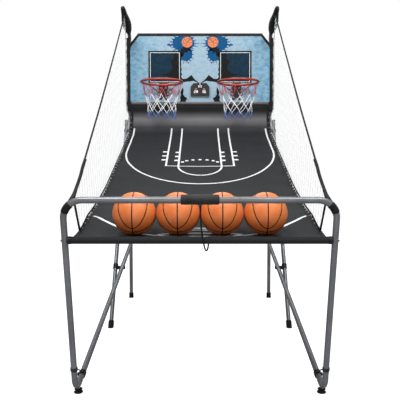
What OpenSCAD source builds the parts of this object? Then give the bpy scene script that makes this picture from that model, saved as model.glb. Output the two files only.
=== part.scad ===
// Two-player basketball hoop machine with a front frame that folds up.
// Millimetres. X is to the player's right, Y is to the back and Z is up.
// The origin is on the floor under the middle of the machine.

/* [Frame] */
// Outside diameter of the frame tubes
tube_d = 25.4; // [22:0.2:27]
// Wall thickness of the frame tubes
tube_wall = 1.5; // [1:0.1:2.5]
// From the middle of the machine out to each rear post
post_x = 511; // [500:1:530]
// From the origin back to the rear posts
post_y = 995; // [960:1:1020]
// Height of the bend at the top of the rear posts
post_top_z = 1920; // [1900:1:1980]
// How far the net arms reach forward of the posts
arm_reach = 347; // [250:1:400]
// How far the tips of the net arms rise above the bend
arm_rise = 99; // [60:1:140]
// From the origin back to the feet of the middle legs
mid_foot_y = 208; // [150:1:260]
// Lean of the middle legs from the vertical, in degrees
mid_lean = 32.45; // [30:0.05:34]

/* [Front frame] */
// From the middle of the machine out to each front leg
leg_x = 523; // [515:1:540]
// From the origin forward to the crossbar
crossbar_reach = 994; // [960:1:1010]
// Height of the crossbar
crossbar_z = 837; // [820:1:860]
// Height of the hinge on the rear posts
hinge_z = 478; // [460:1:500]
// Diameter of the foam grip on the crossbar
grip_d = 39; // [32:1:45]
// Length of the foam grip on the crossbar
grip_l = 146; // [100:1:200]
// Height of the bar that holds the front of the court
front_bar_z = 680; // [670:1:690]

/* [Backboard] */
// Width of the backboard
board_w = 1037; // [1020:1:1045]
// Height of the backboard's lower edge above the floor
board_bottom_z = 1441; // [1430:1:1450]
// Height of the backboard's upper edge above the floor
board_top_z = 1930; // [1920:1:1940]
// Thickness of the backboard
board_t = 10; // [6:1:12]

/* [Hoops and balls] */
// From the middle of the machine out to each hoop's centre
hoop_x = 265; // [240:1:290]
// Outside diameter of a hoop
hoop_d = 300; // [280:1:310]
// Diameter of the rod that a hoop is bent from
hoop_rod = 16; // [12:1:18]
// Height of the hoops
hoop_z = 1558; // [1550:1:1566]
// Diameter of a basketball
ball_d = 178; // [150:1:178]

/* [Scoreboard] */
// Width of the scoreboard
score_w = 135; // [120:1:160]
// Height of the scoreboard
score_h = 87; // [80:1:95]
// How far the scoreboard stands out of the backboard
score_t = 18; // [16:1:24]

/* [Hidden] */

$fn = 48;

// Colours
steel = "#8d8f92";
zinc = "#c9ccd0";
black = "#1b1c1e";
rubber = "#141414";
cloth = "#303236";
mesh_white = "#d9dde0";
board_blue = "#9cc4dc";
hoop_red = "#d5402a";
ball_orange = "#d96b1f";
display_grey = "#4a4a4c";

// Frame
tube_r = tube_d / 2;
bore_d = tube_d - 2 * tube_wall;
gap = 0.3;
bend_lap = 2;
bend_step = 0.15;
bolt_d = 6;
bolt_hole_d = bolt_d + 0.4;
post_bottom = 4;
arm_joint_z = post_top_z - 70;
arm_bend = 40;
arm_tip = [post_x, post_y - arm_reach, post_top_z + arm_rise];
arm_corner = [post_x, post_y, post_top_z];
pad_start = 36;
// The arm pads' outline, as distances from the bend and radii
pad_line = [[0, 13.8], [26, 19.6], [40, 22.8], [62, 26.6], [85, 29.2], [108, 30.8],
    [130, 31.6], [150, 31.2], [180, 28.6], [210, 24.7], [240, 21.2], [270, 18.6],
    [308, 15.9], [322, 13.8], [330.5, 8]];
mid_x = post_x + tube_d + 1.6;
mid_corner_z = (post_y - mid_foot_y) / tan(mid_lean);
mid_foot = [mid_x, mid_foot_y, 0];
mid_corner = [mid_x, post_y, mid_corner_z];
mid_top_z = mid_corner_z + 72;
mid_bolt_z = mid_corner_z + 47;
clamp_z = mid_corner_z - 16;
clamp_h = 22;
cross_z = 760;
mid_cross_z = 1150;
mid_cross_y = mid_foot_y + mid_cross_z * tan(mid_lean);
ramp_tube_z = board_bottom_z - 11.5;
ramp_tube_y = post_y - 10;
rail_z = [1518.5, 1828];
rail_y = post_y;
inner_x = post_x - tube_r - gap;

// Front frame
leg_top = [leg_x, -crossbar_reach, crossbar_z];
leg_corner = [leg_x - 3, -821, 25.2];
hinge = [post_x - 28, post_y, hinge_z];
corner_bend = 75;
foot_bend = 60;
leg_joint = 95;
collar_joint = 125;
collar_l = 27;
pivot_d = 8;
brace_overhang = 13.5;
foot_at = [leg_x - 3, -767, 0];
stay_z = 130;
front_bar_y = -crossbar_reach + (crossbar_z - front_bar_z)
    * (leg_corner.y - leg_top.y) / (leg_top.z - leg_corner.z);
bar_end = leg_x - tube_r - 0.6;

// Court, as the line of its upper surface seen from the side
cloth_t = 4;
court_half_w = 496;
trough_start = [-945, 684];
split_at = [-625, 739];
slope_start = [-100, 862];
slope_end = [800, 1176];
ramp_corner = [965, 1233];
ramp_top = [965, 1330];
hem_top = [965, 1418];
trough_line = bezier(trough_start, [-840, 655], split_at, 12);
main_line = concat(
    bezier(split_at + [1.2, 0.2], [-330, 788], slope_start, 6),
    bezier(slope_end, ramp_corner, ramp_top, 10),
    [hem_top]
);

// Backboard
board_front = post_y - 25.5;
board_back = board_front + board_t;
chamfer_w = 72.5;
chamfer_h = 91;
trim_w = 18;
trim_t = 3;
rim_y = board_front - 164.5;
rim_r = (hoop_d - hoop_rod) / 2;
plate_t = 3;
net_top_r = rim_r - hoop_rod / 2 - 3;
net_bottom_r = 95;
net_z = [1306, 1548];

// Scoreboard
score_bottom = 1486;
score_wall = 2.5;
score_front = board_front - score_t;
button_x = 22;
button_travel = 1.5;

// Route of the pull cord, from under the grip to behind the front bar
cord_d = 4.5;
cord_sides = 10;
cord_route = [
    [2, -994, 817], [2, -994, 804], [2, -994, 790], [2, -995, 775], [3, -996, 760],
    [4, -997, 745], [5, -998, 730], [7, -998, 715], [9, -997, 700], [12, -995, 686],
    [15, -991, 672], [18, -985, 660], [21, -977, 651], [24, -968, 647],
    [27, -959, 647], [30, -951, 651], [32, -947, 658], [33, -946, 665],
    [33, -948, 670]
];

// Geometry helpers

function unit(v) = v / norm(v);
function along(p, q, s) = p + s * unit(q - p);
function flip(list) = [for (i = [len(list) - 1:-1:0]) list[i]];

// Points on a curve from a to c that leaves a towards b and meets c from b
function bezier(a, b, c, steps) = [
    for (i = [0:steps])
        let (t = i / steps)
            (1 - t) * (1 - t) * a + 2 * t * (1 - t) * b + t * t * c
];

// The line moved sideways by t, to its right as it runs
function beside(line, t) = [
    for (i = [0:len(line) - 1])
        let (
            before = line[max(i - 1, 0)],
            after = line[min(i + 1, len(line) - 1)],
            way = unit(after - before)
        )
            line[i] + t * [way.y, -way.x]
];

// Angle that a path turns through at the corner c
function turn(p, c, q) = acos(unit(c - p) * unit(q - c));

module on_side(side) {
    if (side > 0)
        children();
    else
        mirror([1, 0, 0])
            children();
}

module both_sides() {
    children();
    mirror([1, 0, 0])
        children();
}

// Solid round bar between two points
module rod(p, q, d) {
    v = q - p;
    translate(p)
        rotate([0, acos(v.z / norm(v)), atan2(v.y, v.x)])
            cylinder(d = d, h = norm(v));
}

// Hollow round tube between two points
module pipe(p, q, d, wall) {
    v = q - p;
    translate(p)
        rotate([0, acos(v.z / norm(v)), atan2(v.y, v.x)])
            difference() {
                cylinder(d = d, h = norm(v));
                translate([0, 0, -1])
                    cylinder(d = d - 2 * wall, h = norm(v) + 2);
            }
}

// Turn from a corner's own frame, where the path p, c, q comes in along X and
// bends towards Y, to the machine's frame
module at_corner(p, c, q) {
    way = unit(c - p);
    side = unit(unit(q - c) - way * (way * unit(q - c)));
    axis = cross(way, side);
    translate(c)
        rotate([0, 0, atan2(axis.y, axis.x)])
            rotate([0, acos(axis.z), 0])
                rotate([0, 0, atan2(side.z, -way.z)])
                    children();
}

// Ring-shaped section swept round a corner, in the corner's own frame
module elbow(sweep, r, d, wall, first = 0, last = 1) {
    translate([-r * tan(sweep / 2), r, 0])
        rotate([0, 0, first * sweep - 90])
            rotate_extrude(angle = (last - first) * sweep)
                translate([r, 0])
                    difference() {
                        circle(d = d);
                        circle(d = d - 2 * wall);
                    }
}

// Tube along the path p, c, q with a bend at c. The bend's wall is a hair
// thicker and laps over the straight stretches, so that they join cleanly.
module bent_pipe(p, c, q, r, d, wall) {
    sweep = turn(p, c, q);
    s = r * tan(sweep / 2);
    lap = bend_lap / (r * sweep * PI / 180);
    at_corner(p, c, q) {
        pipe([-s, 0, 0], [-norm(c - p), 0, 0], d, wall);
        elbow(sweep, r, d + 2 * bend_step, wall + 2 * bend_step, -lap, 1 + lap);
        rotate([0, 0, sweep])
            pipe([s, 0, 0], [norm(q - c), 0, 0], d, wall);
    }
}

// Drill across a tube, along X
module drill_x(x, y, z, d) {
    rod([x - 40, y, z], [x + 40, y, z], d);
}

// Button-head bolt along X with its head outside, at x
module bolt_x(x, y, z, l) {
    rod([x - l, y, z], [x, y, z], bolt_d);
    rod([x, y, z], [x + 1.5, y, z], 14);
    translate([x + 1.5, y, z])
        rotate([0, 90, 0])
            cylinder(d1 = 14, d2 = 8, h = 2.5);
}

// A sheet seen from the side, extruded across the machine
module across(outline, half_w) {
    translate([-half_w, 0, 0])
        rotate([90, 0, 90])
            linear_extrude(2 * half_w)
                polygon(outline);
}

// A panel in the X-Z plane, from y to y + t
module upright(y, t) {
    translate([0, y + t, 0])
        rotate([90, 0, 0])
            linear_extrude(t)
                children();
}

// Rear posts and net arms

module rear_post(side) {
    color(steel)
        on_side(side)
            difference() {
                pipe([post_x, post_y, post_bottom], [post_x, post_y, arm_joint_z],
                    tube_d, tube_wall);
                drill_x(post_x, post_y, hinge_z, pivot_d + 0.2);
                drill_x(post_x, post_y, cross_z, bolt_hole_d);
                drill_x(post_x, post_y, mid_bolt_z, bolt_hole_d);
                for (z = rail_z)
                    drill_x(post_x, rail_y, z, bolt_hole_d);
            }
}

module net_arms() {
    color(steel)
        both_sides()
            difference() {
                union() {
                    bent_pipe([post_x, post_y, arm_joint_z], arm_corner, arm_tip, arm_bend,
                        tube_d, tube_wall);
                    pipe([post_x, post_y, arm_joint_z], [post_x, post_y, arm_joint_z + 8],
                        bore_d + 0.6, 2);
                    pipe([post_x, post_y, arm_joint_z - 45], [post_x, post_y, arm_joint_z + 4],
                        bore_d - 0.2, 1.4);
                }
                drill_x(post_x, rail_y, rail_z[1], bolt_hole_d);
            }
}

module arm_pads() {
    reach = norm(arm_tip - arm_corner);
    way = arm_tip - arm_corner;
    lean = acos(way.z / norm(way));
    color(black)
        both_sides()
            difference() {
                translate(along(arm_corner, arm_tip, pad_start))
                    rotate([0, lean, atan2(way.y, way.x)])
                        rotate_extrude()
                            polygon(concat([[0, 0]], [for (p = pad_line) [p.y, p.x]],
                                [[0, pad_line[len(pad_line) - 1].x]]));
                rod(along(arm_corner, arm_tip, pad_start - 1),
                    along(arm_corner, arm_tip, reach + gap), tube_d + 0.4);
            }
}

// Middle legs

module mid_leg(side) {
    bottom = along(mid_foot, mid_corner, 12);
    color(steel)
        on_side(side)
            difference() {
                bent_pipe(bottom, mid_corner, [mid_x, post_y, mid_top_z], arm_bend,
                    tube_d, tube_wall);
                drill_x(mid_x, post_y, mid_bolt_z, bolt_hole_d);
                drill_x(mid_x, mid_cross_y, mid_cross_z, bolt_hole_d);
            }
}

module rear_feet() {
    color(rubber)
        both_sides()
            difference() {
                union() {
                    translate([post_x, post_y, 0])
                        cylinder(d1 = 36, d2 = 33, h = 10);
                    translate([post_x, post_y, 10])
                        cylinder(d = 33, h = 26);
                }
                translate([post_x, post_y, post_bottom - gap])
                    cylinder(d = tube_d + 0.4, h = 40);
            }
}

module mid_feet() {
    color(rubber)
        both_sides()
            difference() {
                rod(along(mid_foot, mid_corner, -24), along(mid_foot, mid_corner, 42), 34);
                rod(along(mid_foot, mid_corner, 12 - gap), along(mid_foot, mid_corner, 50),
                    tube_d + 0.4);
                translate([mid_x - 50, mid_foot_y - 60, -60])
                    cube([100, 120, 60]);
            }
}

// Plastic plugs in the open tops of the middle legs
module tube_plugs() {
    color(black)
        both_sides()
            translate([mid_x, post_y, mid_top_z]) {
                translate([0, 0, -12])
                    cylinder(d = bore_d - 0.2, h = 12.1);
                cylinder(d1 = tube_d, d2 = tube_d - 5, h = 4);
            }
}

// Clamps that tie each middle leg to its post
module post_clamps() {
    lap = 13;
    color(black)
        both_sides()
            difference() {
                union() {
                    translate([post_x, post_y, clamp_z])
                        cylinder(d = tube_d + 7, h = clamp_h);
                    translate([mid_x, post_y, clamp_z])
                        cylinder(d = tube_d + 7, h = clamp_h);
                    translate([mid_x, post_y - lap, clamp_z])
                        cylinder(d = tube_d + 7, h = clamp_h);
                    translate([mid_x - tube_r - 3.5, post_y - lap, clamp_z])
                        cube([tube_d + 7, lap, clamp_h]);
                    translate([post_x, post_y - tube_r - 3.5, clamp_z])
                        cube([mid_x - post_x, tube_d + 7, clamp_h]);
                }
                translate([post_x, post_y, clamp_z - 1])
                    cylinder(d = tube_d + 0.4, h = clamp_h + 2);
                for (back = [0, lap])
                    translate([mid_x, post_y - back, clamp_z - 1])
                        cylinder(d = tube_d + 0.8, h = clamp_h + 2);
                translate([mid_x - tube_r - 0.4, post_y - lap, clamp_z - 1])
                    cube([tube_d + 0.8, lap, clamp_h + 2]);
            }
}

// Cross tubes

module cross_tube(y, z, half_l, d) {
    color(steel)
        pipe([-half_l, y, z], [half_l, y, z], d, tube_wall);
}

module rear_cross_tube() {
    cross_tube(post_y, cross_z, inner_x, tube_d);
}

module mid_cross_tube() {
    cross_tube(mid_cross_y, mid_cross_z, mid_x - tube_r - gap, tube_d);
}

module ramp_top_tube() {
    cross_tube(ramp_tube_y, ramp_tube_z, inner_x - 0.5, 23);
}

module board_rails() {
    color(steel)
        difference() {
            union()
                for (z = rail_z)
                    pipe([-inner_x, rail_y, z], [inner_x, rail_y, z], tube_d, tube_wall);
            for (x = [-400, 400], z = rail_z)
                rod([x, rail_y - 30, z], [x, rail_y + 30, z], 5.4);
        }
}

// Threaded inserts in the ends of the cross tubes
module tube_inserts() {
    ends = [
        [inner_x, post_y, cross_z], [inner_x, rail_y, rail_z[0]],
        [inner_x, rail_y, rail_z[1]], [mid_x - tube_r - gap, mid_cross_y, mid_cross_z]
    ];
    color(black)
        both_sides()
            for (e = ends)
                difference() {
                    rod(e - [26, 0, 0], e - [0.2, 0, 0], bore_d - 0.2);
                    rod(e - [30, 0, 0], e + [2, 0, 0], bolt_d + 0.1);
                }
}

module frame_bolts() {
    face = post_x + tube_r;
    color(zinc)
        both_sides() {
            bolt_x(face, post_y, cross_z, 48);
            for (z = rail_z)
                bolt_x(face, rail_y, z, 48);
            bolt_x(mid_x + tube_r, mid_cross_y, mid_cross_z, 48);
            bolt_x(mid_x + tube_r, post_y, mid_bolt_z, mid_x - post_x + tube_d + 6);
        }
}

// Hinge between the rear posts and the front frame

module hinge_bolts() {
    face = post_x + tube_r;
    color(zinc)
        both_sides() {
            rod([hinge.x - 22, post_y, hinge_z], [face + 1, post_y, hinge_z], pivot_d);
            rod([face, post_y, hinge_z], [face + 5, post_y, hinge_z], 18);
            translate([hinge.x - tube_r - 8, post_y, hinge_z])
                rotate([0, 90, 0])
                    cylinder(d = 15, h = 7, $fn = 6);
        }
}

module brace_tube(side) {
    start = along(leg_corner, hinge, collar_joint);
    finish = along(leg_corner, hinge, norm(hinge - leg_corner) + brace_overhang);
    color(steel)
        on_side(side)
            difference() {
                union() {
                    pipe(start, finish, tube_d, tube_wall);
                    rod([hinge.x - tube_r - 0.5, post_y, hinge_z],
                        [post_x - tube_r - gap, post_y, hinge_z], 13);
                }
                drill_x(hinge.x, post_y, hinge_z, pivot_d + 0.1);
            }
}

module brace_plugs() {
    reach = norm(hinge - leg_corner) + brace_overhang;
    color(black)
        both_sides() {
            rod(along(leg_corner, hinge, reach - 6), along(leg_corner, hinge, reach + 0.1),
                bore_d - 0.2);
            rod(along(leg_corner, hinge, reach), along(leg_corner, hinge, reach + 2.5),
                tube_d);
        }
}

// Cradles on the middle legs that carry the brace tubes while the frame is down
module brace_saddles() {
    drop = unit(hinge - leg_corner);
    leg_way = unit(mid_corner - mid_foot);
    rise = drop.z / drop.y;
    lean = leg_way.y / leg_way.z;
    z = (leg_corner.z + rise * (mid_foot_y - leg_corner.y)) / (1 - rise * lean);
    y = mid_foot_y + lean * z;
    x = leg_corner.x + (y - leg_corner.y) * drop.x / drop.y;
    centre = [x, y, z];
    leg_at = [mid_x, y, z];
    color(black)
        both_sides()
            difference() {
                union() {
                    rod(leg_at - 16 * leg_way, leg_at + 16 * leg_way, tube_d + 6);
                    translate([x - tube_r - 3.5, y - 13, z - tube_r - 5])
                        cube([mid_x - x + tube_r - 8, 26, tube_r + 7]);
                }
                rod(leg_at - 30 * leg_way, leg_at + 30 * leg_way, tube_d + 0.3);
                rod(centre - 40 * drop, centre + 40 * drop, tube_d + 1.2);
                translate([x - tube_r - 0.6, y - 40, z + 3])
                    rotate([atan(rise), 0, 0])
                        cube([tube_d + 1.2, 80, 30]);
                translate([x - 30, y - 30, z + 3.5])
                    cube([30 + tube_r + 3.5, 60, 30]);
            }
}

// Backboard

function board_outline(inset) = [
    [-board_w / 2 + inset, board_bottom_z],
    [board_w / 2 - inset, board_bottom_z],
    [board_w / 2 - inset, board_top_z - chamfer_h - inset * 0.35],
    [board_w / 2 - chamfer_w - inset * 0.35, board_top_z - inset],
    [-board_w / 2 + chamfer_w + inset * 0.35, board_top_z - inset],
    [-board_w / 2 + inset, board_top_z - chamfer_h - inset * 0.35]
];

module backboard() {
    color(board_blue)
        difference() {
            upright(board_front, board_t)
                polygon(board_outline(trim_t));
            for (x = [-400, 400], z = rail_z)
                rod([x, board_front + 3, z], [x, board_back + 5, z], 5.2);
            bracket_holes(bolt_hole_d);
        }
}

// Channel trim along the upper edge and down both corners
module backboard_trim() {
    color(black)
        difference() {
            upright(board_front - trim_t, board_t + 2 * trim_t - 0.4)
                difference() {
                    polygon(board_outline(0));
                    polygon(board_outline(trim_w));
                    translate([-board_w, 0])
                        square([2 * board_w, board_top_z - chamfer_h - trim_w]);
                }
            upright(board_front - 0.15, board_t + 0.3)
                polygon(board_outline(trim_t - 0.2));
        }
}

module board_screws() {
    color(zinc)
        for (x = [-400, 400], z = rail_z) {
            rod([x, board_front + 3.5, z], [x, rail_y + tube_r, z], 5);
            rod([x, rail_y + tube_r, z], [x, rail_y + tube_r + 3, z], 10);
        }
}

// Hoops

bolt_places = [[-18, 1541], [18, 1541], [-33, 1496], [33, 1496], [-21, 1473], [21, 1473]];

module bracket_holes(d) {
    for (side = [-1, 1], p = bolt_places)
        rod([side * hoop_x + p.x, board_front - 20, p.y],
            [side * hoop_x + p.x, board_back + 20, p.y], d);
}

module hoop(side) {
    plate_y = board_front - plate_t;
    arm_z = 1510;
    color(hoop_red)
        translate([side * hoop_x, 0, 0])
            difference() {
                union() {
                    translate([0, rim_y, hoop_z])
                        rotate_extrude()
                            translate([rim_r, 0])
                                circle(d = hoop_rod);
                    for (s = [-1, 1]) {
                        rod([s * 24, rim_y + rim_r - 6, hoop_z], [s * 24, plate_y - 5, hoop_z], 9);
                        rod([s * 108, rim_y + 92, hoop_z], [s * 33, plate_y - 6, arm_z], 7);
                        rod([s * 33, plate_y - 6.2, arm_z], [s * 33, plate_y - gap, arm_z], 12);
                    }
                    translate([-34, plate_y - 5, hoop_z - 14])
                        cube([68, 5 - gap, 28]);
                }
                for (p = bolt_places)
                    rod([p.x, plate_y - 8, p.y], [p.x, board_front, p.y], 14);
            }
}

// Steel plates that hold the hoops to the board, with two lobes at the foot
module hoop_brackets() {
    color(black)
        both_sides()
            difference() {
                upright(board_front - plate_t, plate_t - 0.1)
                    translate([hoop_x, 0])
                        union() {
                            translate([-30, 1470])
                                square([60, 112]);
                            translate([-41, 1486])
                                square([82, 20]);
                            for (s = [-1, 1]) {
                                translate([s * 21, 1468])
                                    circle(d = 27);
                                translate([s * 33, 1496])
                                    circle(d = 22);
                            }
                        }
                bracket_holes(bolt_hole_d);
            }
}

module bracket_bolts() {
    plate_y = board_front - plate_t;
    color(zinc)
        for (side = [-1, 1], p = bolt_places)
            translate([side * hoop_x + p.x, 0, p.y]) {
                rod([0, plate_y - 1, 0], [0, board_back + 8, 0], bolt_d);
                rod([0, plate_y - 1.5, 0], [0, plate_y, 0], 13);
                translate([0, plate_y - 1.5, 0])
                    rotate([90, 0, 0])
                        cylinder(d1 = 12, d2 = 7, h = 3);
                translate([0, board_back + 6.9, 0])
                    rotate([90, 0, 0])
                        cylinder(d = 11, h = 4, $fn = 6);
            }
}

module bracket_back_plates() {
    color(steel)
        both_sides()
            difference() {
                upright(board_back + 0.2, 2.5)
                    translate([hoop_x - 45, 1455])
                        square([90, 100]);
                bracket_holes(bolt_hole_d);
            }
}

module hoop_net(side) {
    wall = 2.5;
    color(mesh_white)
        translate([side * hoop_x, rim_y, 0])
            rotate_extrude()
                polygon([
                    [net_bottom_r, net_z[0]], [net_bottom_r + wall, net_z[0]],
                    [net_top_r + wall, net_z[1]], [net_top_r, net_z[1]]
                ]);
}

// Scoreboard

function score_outline(inset) = [
    [-score_w / 2 + inset, score_bottom + inset],
    [score_w / 2 - inset, score_bottom + inset],
    [score_w / 2 - inset, score_bottom + score_h - 25 - inset * 0.4],
    [score_w / 2 - 22 - inset * 0.4, score_bottom + score_h - inset],
    [-score_w / 2 + 22 + inset * 0.4, score_bottom + score_h - inset],
    [-score_w / 2 + inset, score_bottom + score_h - 25 - inset * 0.4]
];

// Display windows: centre across, centre up, width, height
windows = [[0, 64, 32, 18], [-29, 26, 36, 25], [29, 26, 36, 25]];

module window_squares(grow) {
    for (w = windows)
        translate([w[0] - w[2] / 2 - grow, score_bottom + w[1] - w[3] / 2 - grow])
            square([w[2] + 2 * grow, w[3] + 2 * grow]);
}

module scoreboard_case() {
    color(display_grey)
        difference() {
            upright(score_front, score_t - 0.2)
                polygon(score_outline(0));
            upright(score_front + score_wall, score_t)
                polygon(score_outline(score_wall));
            upright(score_front - 1, score_wall + 2)
                window_squares(0);
            for (s = [-1, 1])
                translate([s * button_x, board_front - score_t / 2, score_bottom - 1])
                    cylinder(d = 8.4, h = 6);
        }
}

module scoreboard_lens() {
    color("#20201f", 0.7)
        upright(score_front + score_wall + 0.1, 1.5)
            window_squares(2);
}

module scoreboard_circuit() {
    color("#1f5a35") {
        upright(score_front + 8.2, 1.6)
            translate([-54, score_bottom + 12])
                square([108, 64]);
    }
    color("#26262a")
        upright(score_front + 4.4, 4)
            window_squares(-2);
}

// A button in the floor of the scoreboard, with its flange inside
module score_button(x) {
    color(black)
        translate([x, board_front - score_t / 2, score_bottom]) {
            translate([0, 0, -2])
                cylinder(d = 8, h = 5);
            translate([0, 0, score_wall + 0.3])
                cylinder(d = 10.5, h = 1.5);
        }
}

// Court and nets

module court_main() {
    line = main_line;
    color(cloth)
        across(concat(line, flip(beside(line, cloth_t))), court_half_w);
}

// Front of the court, with the pocket that is sewn round the front bar
module court_front() {
    line = trough_line;
    pocket_d = tube_d + 3.6;
    color(cloth) {
        across(concat(line, flip(beside(line, cloth_t))), court_half_w);
        pipe([-court_half_w + 8, front_bar_y, front_bar_z],
            [court_half_w - 8, front_bar_y, front_bar_z], pocket_d, 1.6);
    }
}

module side_net(side) {
    lift = [0, 8];
    edge = [for (p = concat([[-790, 710]], main_line)) p + lift];
    low = [for (p = edge) if (p.y < ramp_top.y) [min(p.x, 962), p.y]];
    outline = concat(
        [[-875, 832]], low,
        [[962, ramp_top.y], [962, 1852], [695, 1984]]
    );
    color(mesh_white, 0.5)
        on_side(side)
            translate([502, 0, 0])
                rotate([90, 0, 90])
                    linear_extrude(1)
                        polygon(outline);
}

module round_rectangle(x0, y0, x1, y1, r) {
    translate([x0 + r, y0])
        square([x1 - x0 - 2 * r, y1 - y0]);
    translate([x0, y0 + r])
        square([x1 - x0, y1 - y0 - 2 * r]);
    for (x = [x0 + r, x1 - r], y = [y0 + r, y1 - r])
        translate([x, y])
            circle(r = r);
}

// Cloth sleeves that lace the nets round the posts and the edges of the board
module post_sleeves() {
    wall = 1.5;
    front = board_front - 6;
    back = post_y + tube_r + 2.5;
    outer = post_x + 20;
    color(black)
        both_sides()
            translate([0, 0, 1370])
                linear_extrude(528)
                    difference() {
                        round_rectangle(470, front, outer, back, 9);
                        round_rectangle(460, front + wall, outer - wall, back - wall, 7.5);
                        translate([400, front - 5])
                            square([103, back - front + 10]);
                    }
}

// Straps from the corners of the crossbar back along the nets' upper hems
module net_straps() {
    under = leg_corner;
    middle = [0, -crossbar_reach, crossbar_z];
    width = 12;
    strap_line = [[-964, 818], [-870, 850], [-785, 892], [-540, 1065]];
    color(black)
        both_sides() {
            at_corner(middle, leg_top, under)
                elbow(turn(middle, leg_top, under), corner_bend, tube_d + 5, 2.3, 0.42, 0.78);
            translate([505, 0, 0])
                rotate([90, 0, 90])
                    linear_extrude(2.5)
                        polygon(concat(
                            strap_line,
                            flip([for (p = strap_line) p + [width / 2, -width]])
                        ));
        }
}

// Front frame

module crossbar() {
    y = -crossbar_reach;
    joint = along(leg_top, leg_corner, leg_joint);
    color(steel) {
        both_sides()
            bent_pipe([50, y, crossbar_z], leg_top, joint, corner_bend, tube_d, tube_wall);
        pipe([-51, y, crossbar_z], [51, y, crossbar_z], tube_d + 2 * bend_step,
            tube_wall + 2 * bend_step);
    }
}

module crossbar_grip() {
    y = -crossbar_reach;
    color(black)
        difference() {
            rod([-grip_l / 2, y, crossbar_z], [grip_l / 2, y, crossbar_z], grip_d);
            rod([-grip_l, y, crossbar_z], [grip_l, y, crossbar_z], tube_d + 0.4);
        }
}

module front_leg(side) {
    joint = along(leg_top, leg_corner, leg_joint);
    finish = along(leg_corner, hinge, collar_joint);
    bar_x = leg_x - 3 * (crossbar_z - front_bar_z) / (leg_top.z - leg_corner.z);
    color(steel)
        on_side(side)
            difference() {
                bent_pipe(joint, leg_corner, finish, foot_bend, tube_d, tube_wall);
                drill_x(bar_x, front_bar_y, front_bar_z, bolt_hole_d);
            }
}

// Sleeves inside the tubes where the crossbar, legs and brace tubes join
module frame_couplers() {
    color(zinc)
        both_sides() {
            pipe(along(leg_top, leg_corner, leg_joint - 15),
                along(leg_top, leg_corner, leg_joint + 40), bore_d - 0.3, 1.4);
            pipe(along(leg_corner, hinge, collar_joint - 40),
                along(leg_corner, hinge, collar_joint + 40), bore_d - 0.3, 1.4);
        }
}

module leg_collars() {
    color(black)
        both_sides()
            difference() {
                union() {
                    rod(along(leg_corner, hinge, collar_joint - collar_l / 2),
                        along(leg_corner, hinge, collar_joint + collar_l / 2), tube_d + 7);
                    rod(along(leg_corner, hinge, collar_joint),
                        along(leg_corner, hinge, collar_joint) + [tube_r + 6, 0, 0], 16);
                }
                rod(along(leg_corner, hinge, collar_joint - 30),
                    along(leg_corner, hinge, collar_joint + 30), tube_d + 0.4);
                rod(along(leg_corner, hinge, collar_joint),
                    along(leg_corner, hinge, collar_joint) + [40, 0, 0], bolt_hole_d);
            }
}

// Thin stays across the inside of each foot bend
module leg_stays() {
    down = unit(leg_corner - leg_top);
    on_leg = leg_top + down * (leg_top.z - stay_z) / -down.z;
    finish = along(leg_corner, hinge, collar_joint - 8) + [0, 0, tube_r + 5];
    color(black)
        both_sides() {
            pipe(on_leg - 7 * down, on_leg + 7 * down, tube_d + 5, 2.3);
            rod(on_leg + [0, tube_r + 1.5, 0], finish, 5);
        }
}

module foot_nuts() {
    color(zinc)
        both_sides()
            difference() {
                translate([foot_at.x, foot_at.y, 18.6])
                    cylinder(d = 16, h = 6.7, $fn = 6);
                translate([foot_at.x, foot_at.y, 15])
                    cylinder(d = 8.1, h = 15);
            }
}

module levelling_foot(side) {
    color(rubber)
        on_side(side)
            translate([foot_at.x, foot_at.y, 0]) {
                rotate_extrude()
                    polygon([
                        [0, 0], [17.5, 0], [19.5, 2], [19.5, 5], [14, 9], [14, 12],
                        [17, 15], [17, 18], [0, 18]
                    ]);
                cylinder(d = 8, h = 25);
            }
}

module front_bar() {
    color(steel)
        pipe([-bar_end + 12, front_bar_y, front_bar_z],
            [bar_end - 12, front_bar_y, front_bar_z], tube_d, tube_wall);
}

// Caps with threaded cores in the ends of the front bar
module front_bar_caps() {
    at = [0, front_bar_y, front_bar_z];
    color(black)
        both_sides()
            difference() {
                union() {
                    rod(at + [bar_end - 11.8, 0, 0], at + [bar_end, 0, 0], 31);
                    rod(at + [bar_end - 38, 0, 0], at + [bar_end - 5, 0, 0], bore_d - 0.2);
                }
                rod(at + [bar_end - 50, 0, 0], at + [bar_end + 5, 0, 0], bolt_d + 0.1);
            }
}

module leg_bolts() {
    bar_x = leg_x - 3 * (crossbar_z - front_bar_z) / (leg_top.z - leg_corner.z);
    collar = along(leg_corner, hinge, collar_joint);
    color(zinc)
        both_sides() {
            bolt_x(bar_x + tube_r, front_bar_y, front_bar_z, 58);
            translate([collar.x + tube_r + 6, collar.y, collar.z])
                rotate([0, 90, 0])
                    cylinder(d1 = 12, d2 = 8, h = 3);
        }
}

// Ring of points round the cord at point i of its route
function cord_ring(i) =
    let (
        last = len(cord_route) - 1,
        way = unit(cord_route[min(i + 1, last)] - cord_route[max(i - 1, 0)]),
        side = unit(cross(way, [1, 0, 0])),
        other = cross(way, side)
    )
        [
            for (k = [0:cord_sides - 1])
                let (a = 360 * k / cord_sides)
                    cord_route[i] + cord_d / 2 * (cos(a) * side + sin(a) * other)
        ];

module pull_cord() {
    rings = len(cord_route);
    points = [for (i = [0:rings - 1]) each cord_ring(i)];
    walls = [
        for (i = [0:rings - 2], k = [0:cord_sides - 1])
            let (a = i * cord_sides + k, b = i * cord_sides + (k + 1) % cord_sides)
                [a, a + cord_sides, b + cord_sides, b]
    ];
    near_end = [for (k = [0:cord_sides - 1]) k];
    far_end = [for (k = [cord_sides - 1:-1:0]) (rings - 1) * cord_sides + k];
    color(rubber)
        polyhedron(points, concat(walls, [near_end, far_end]));
}

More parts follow.
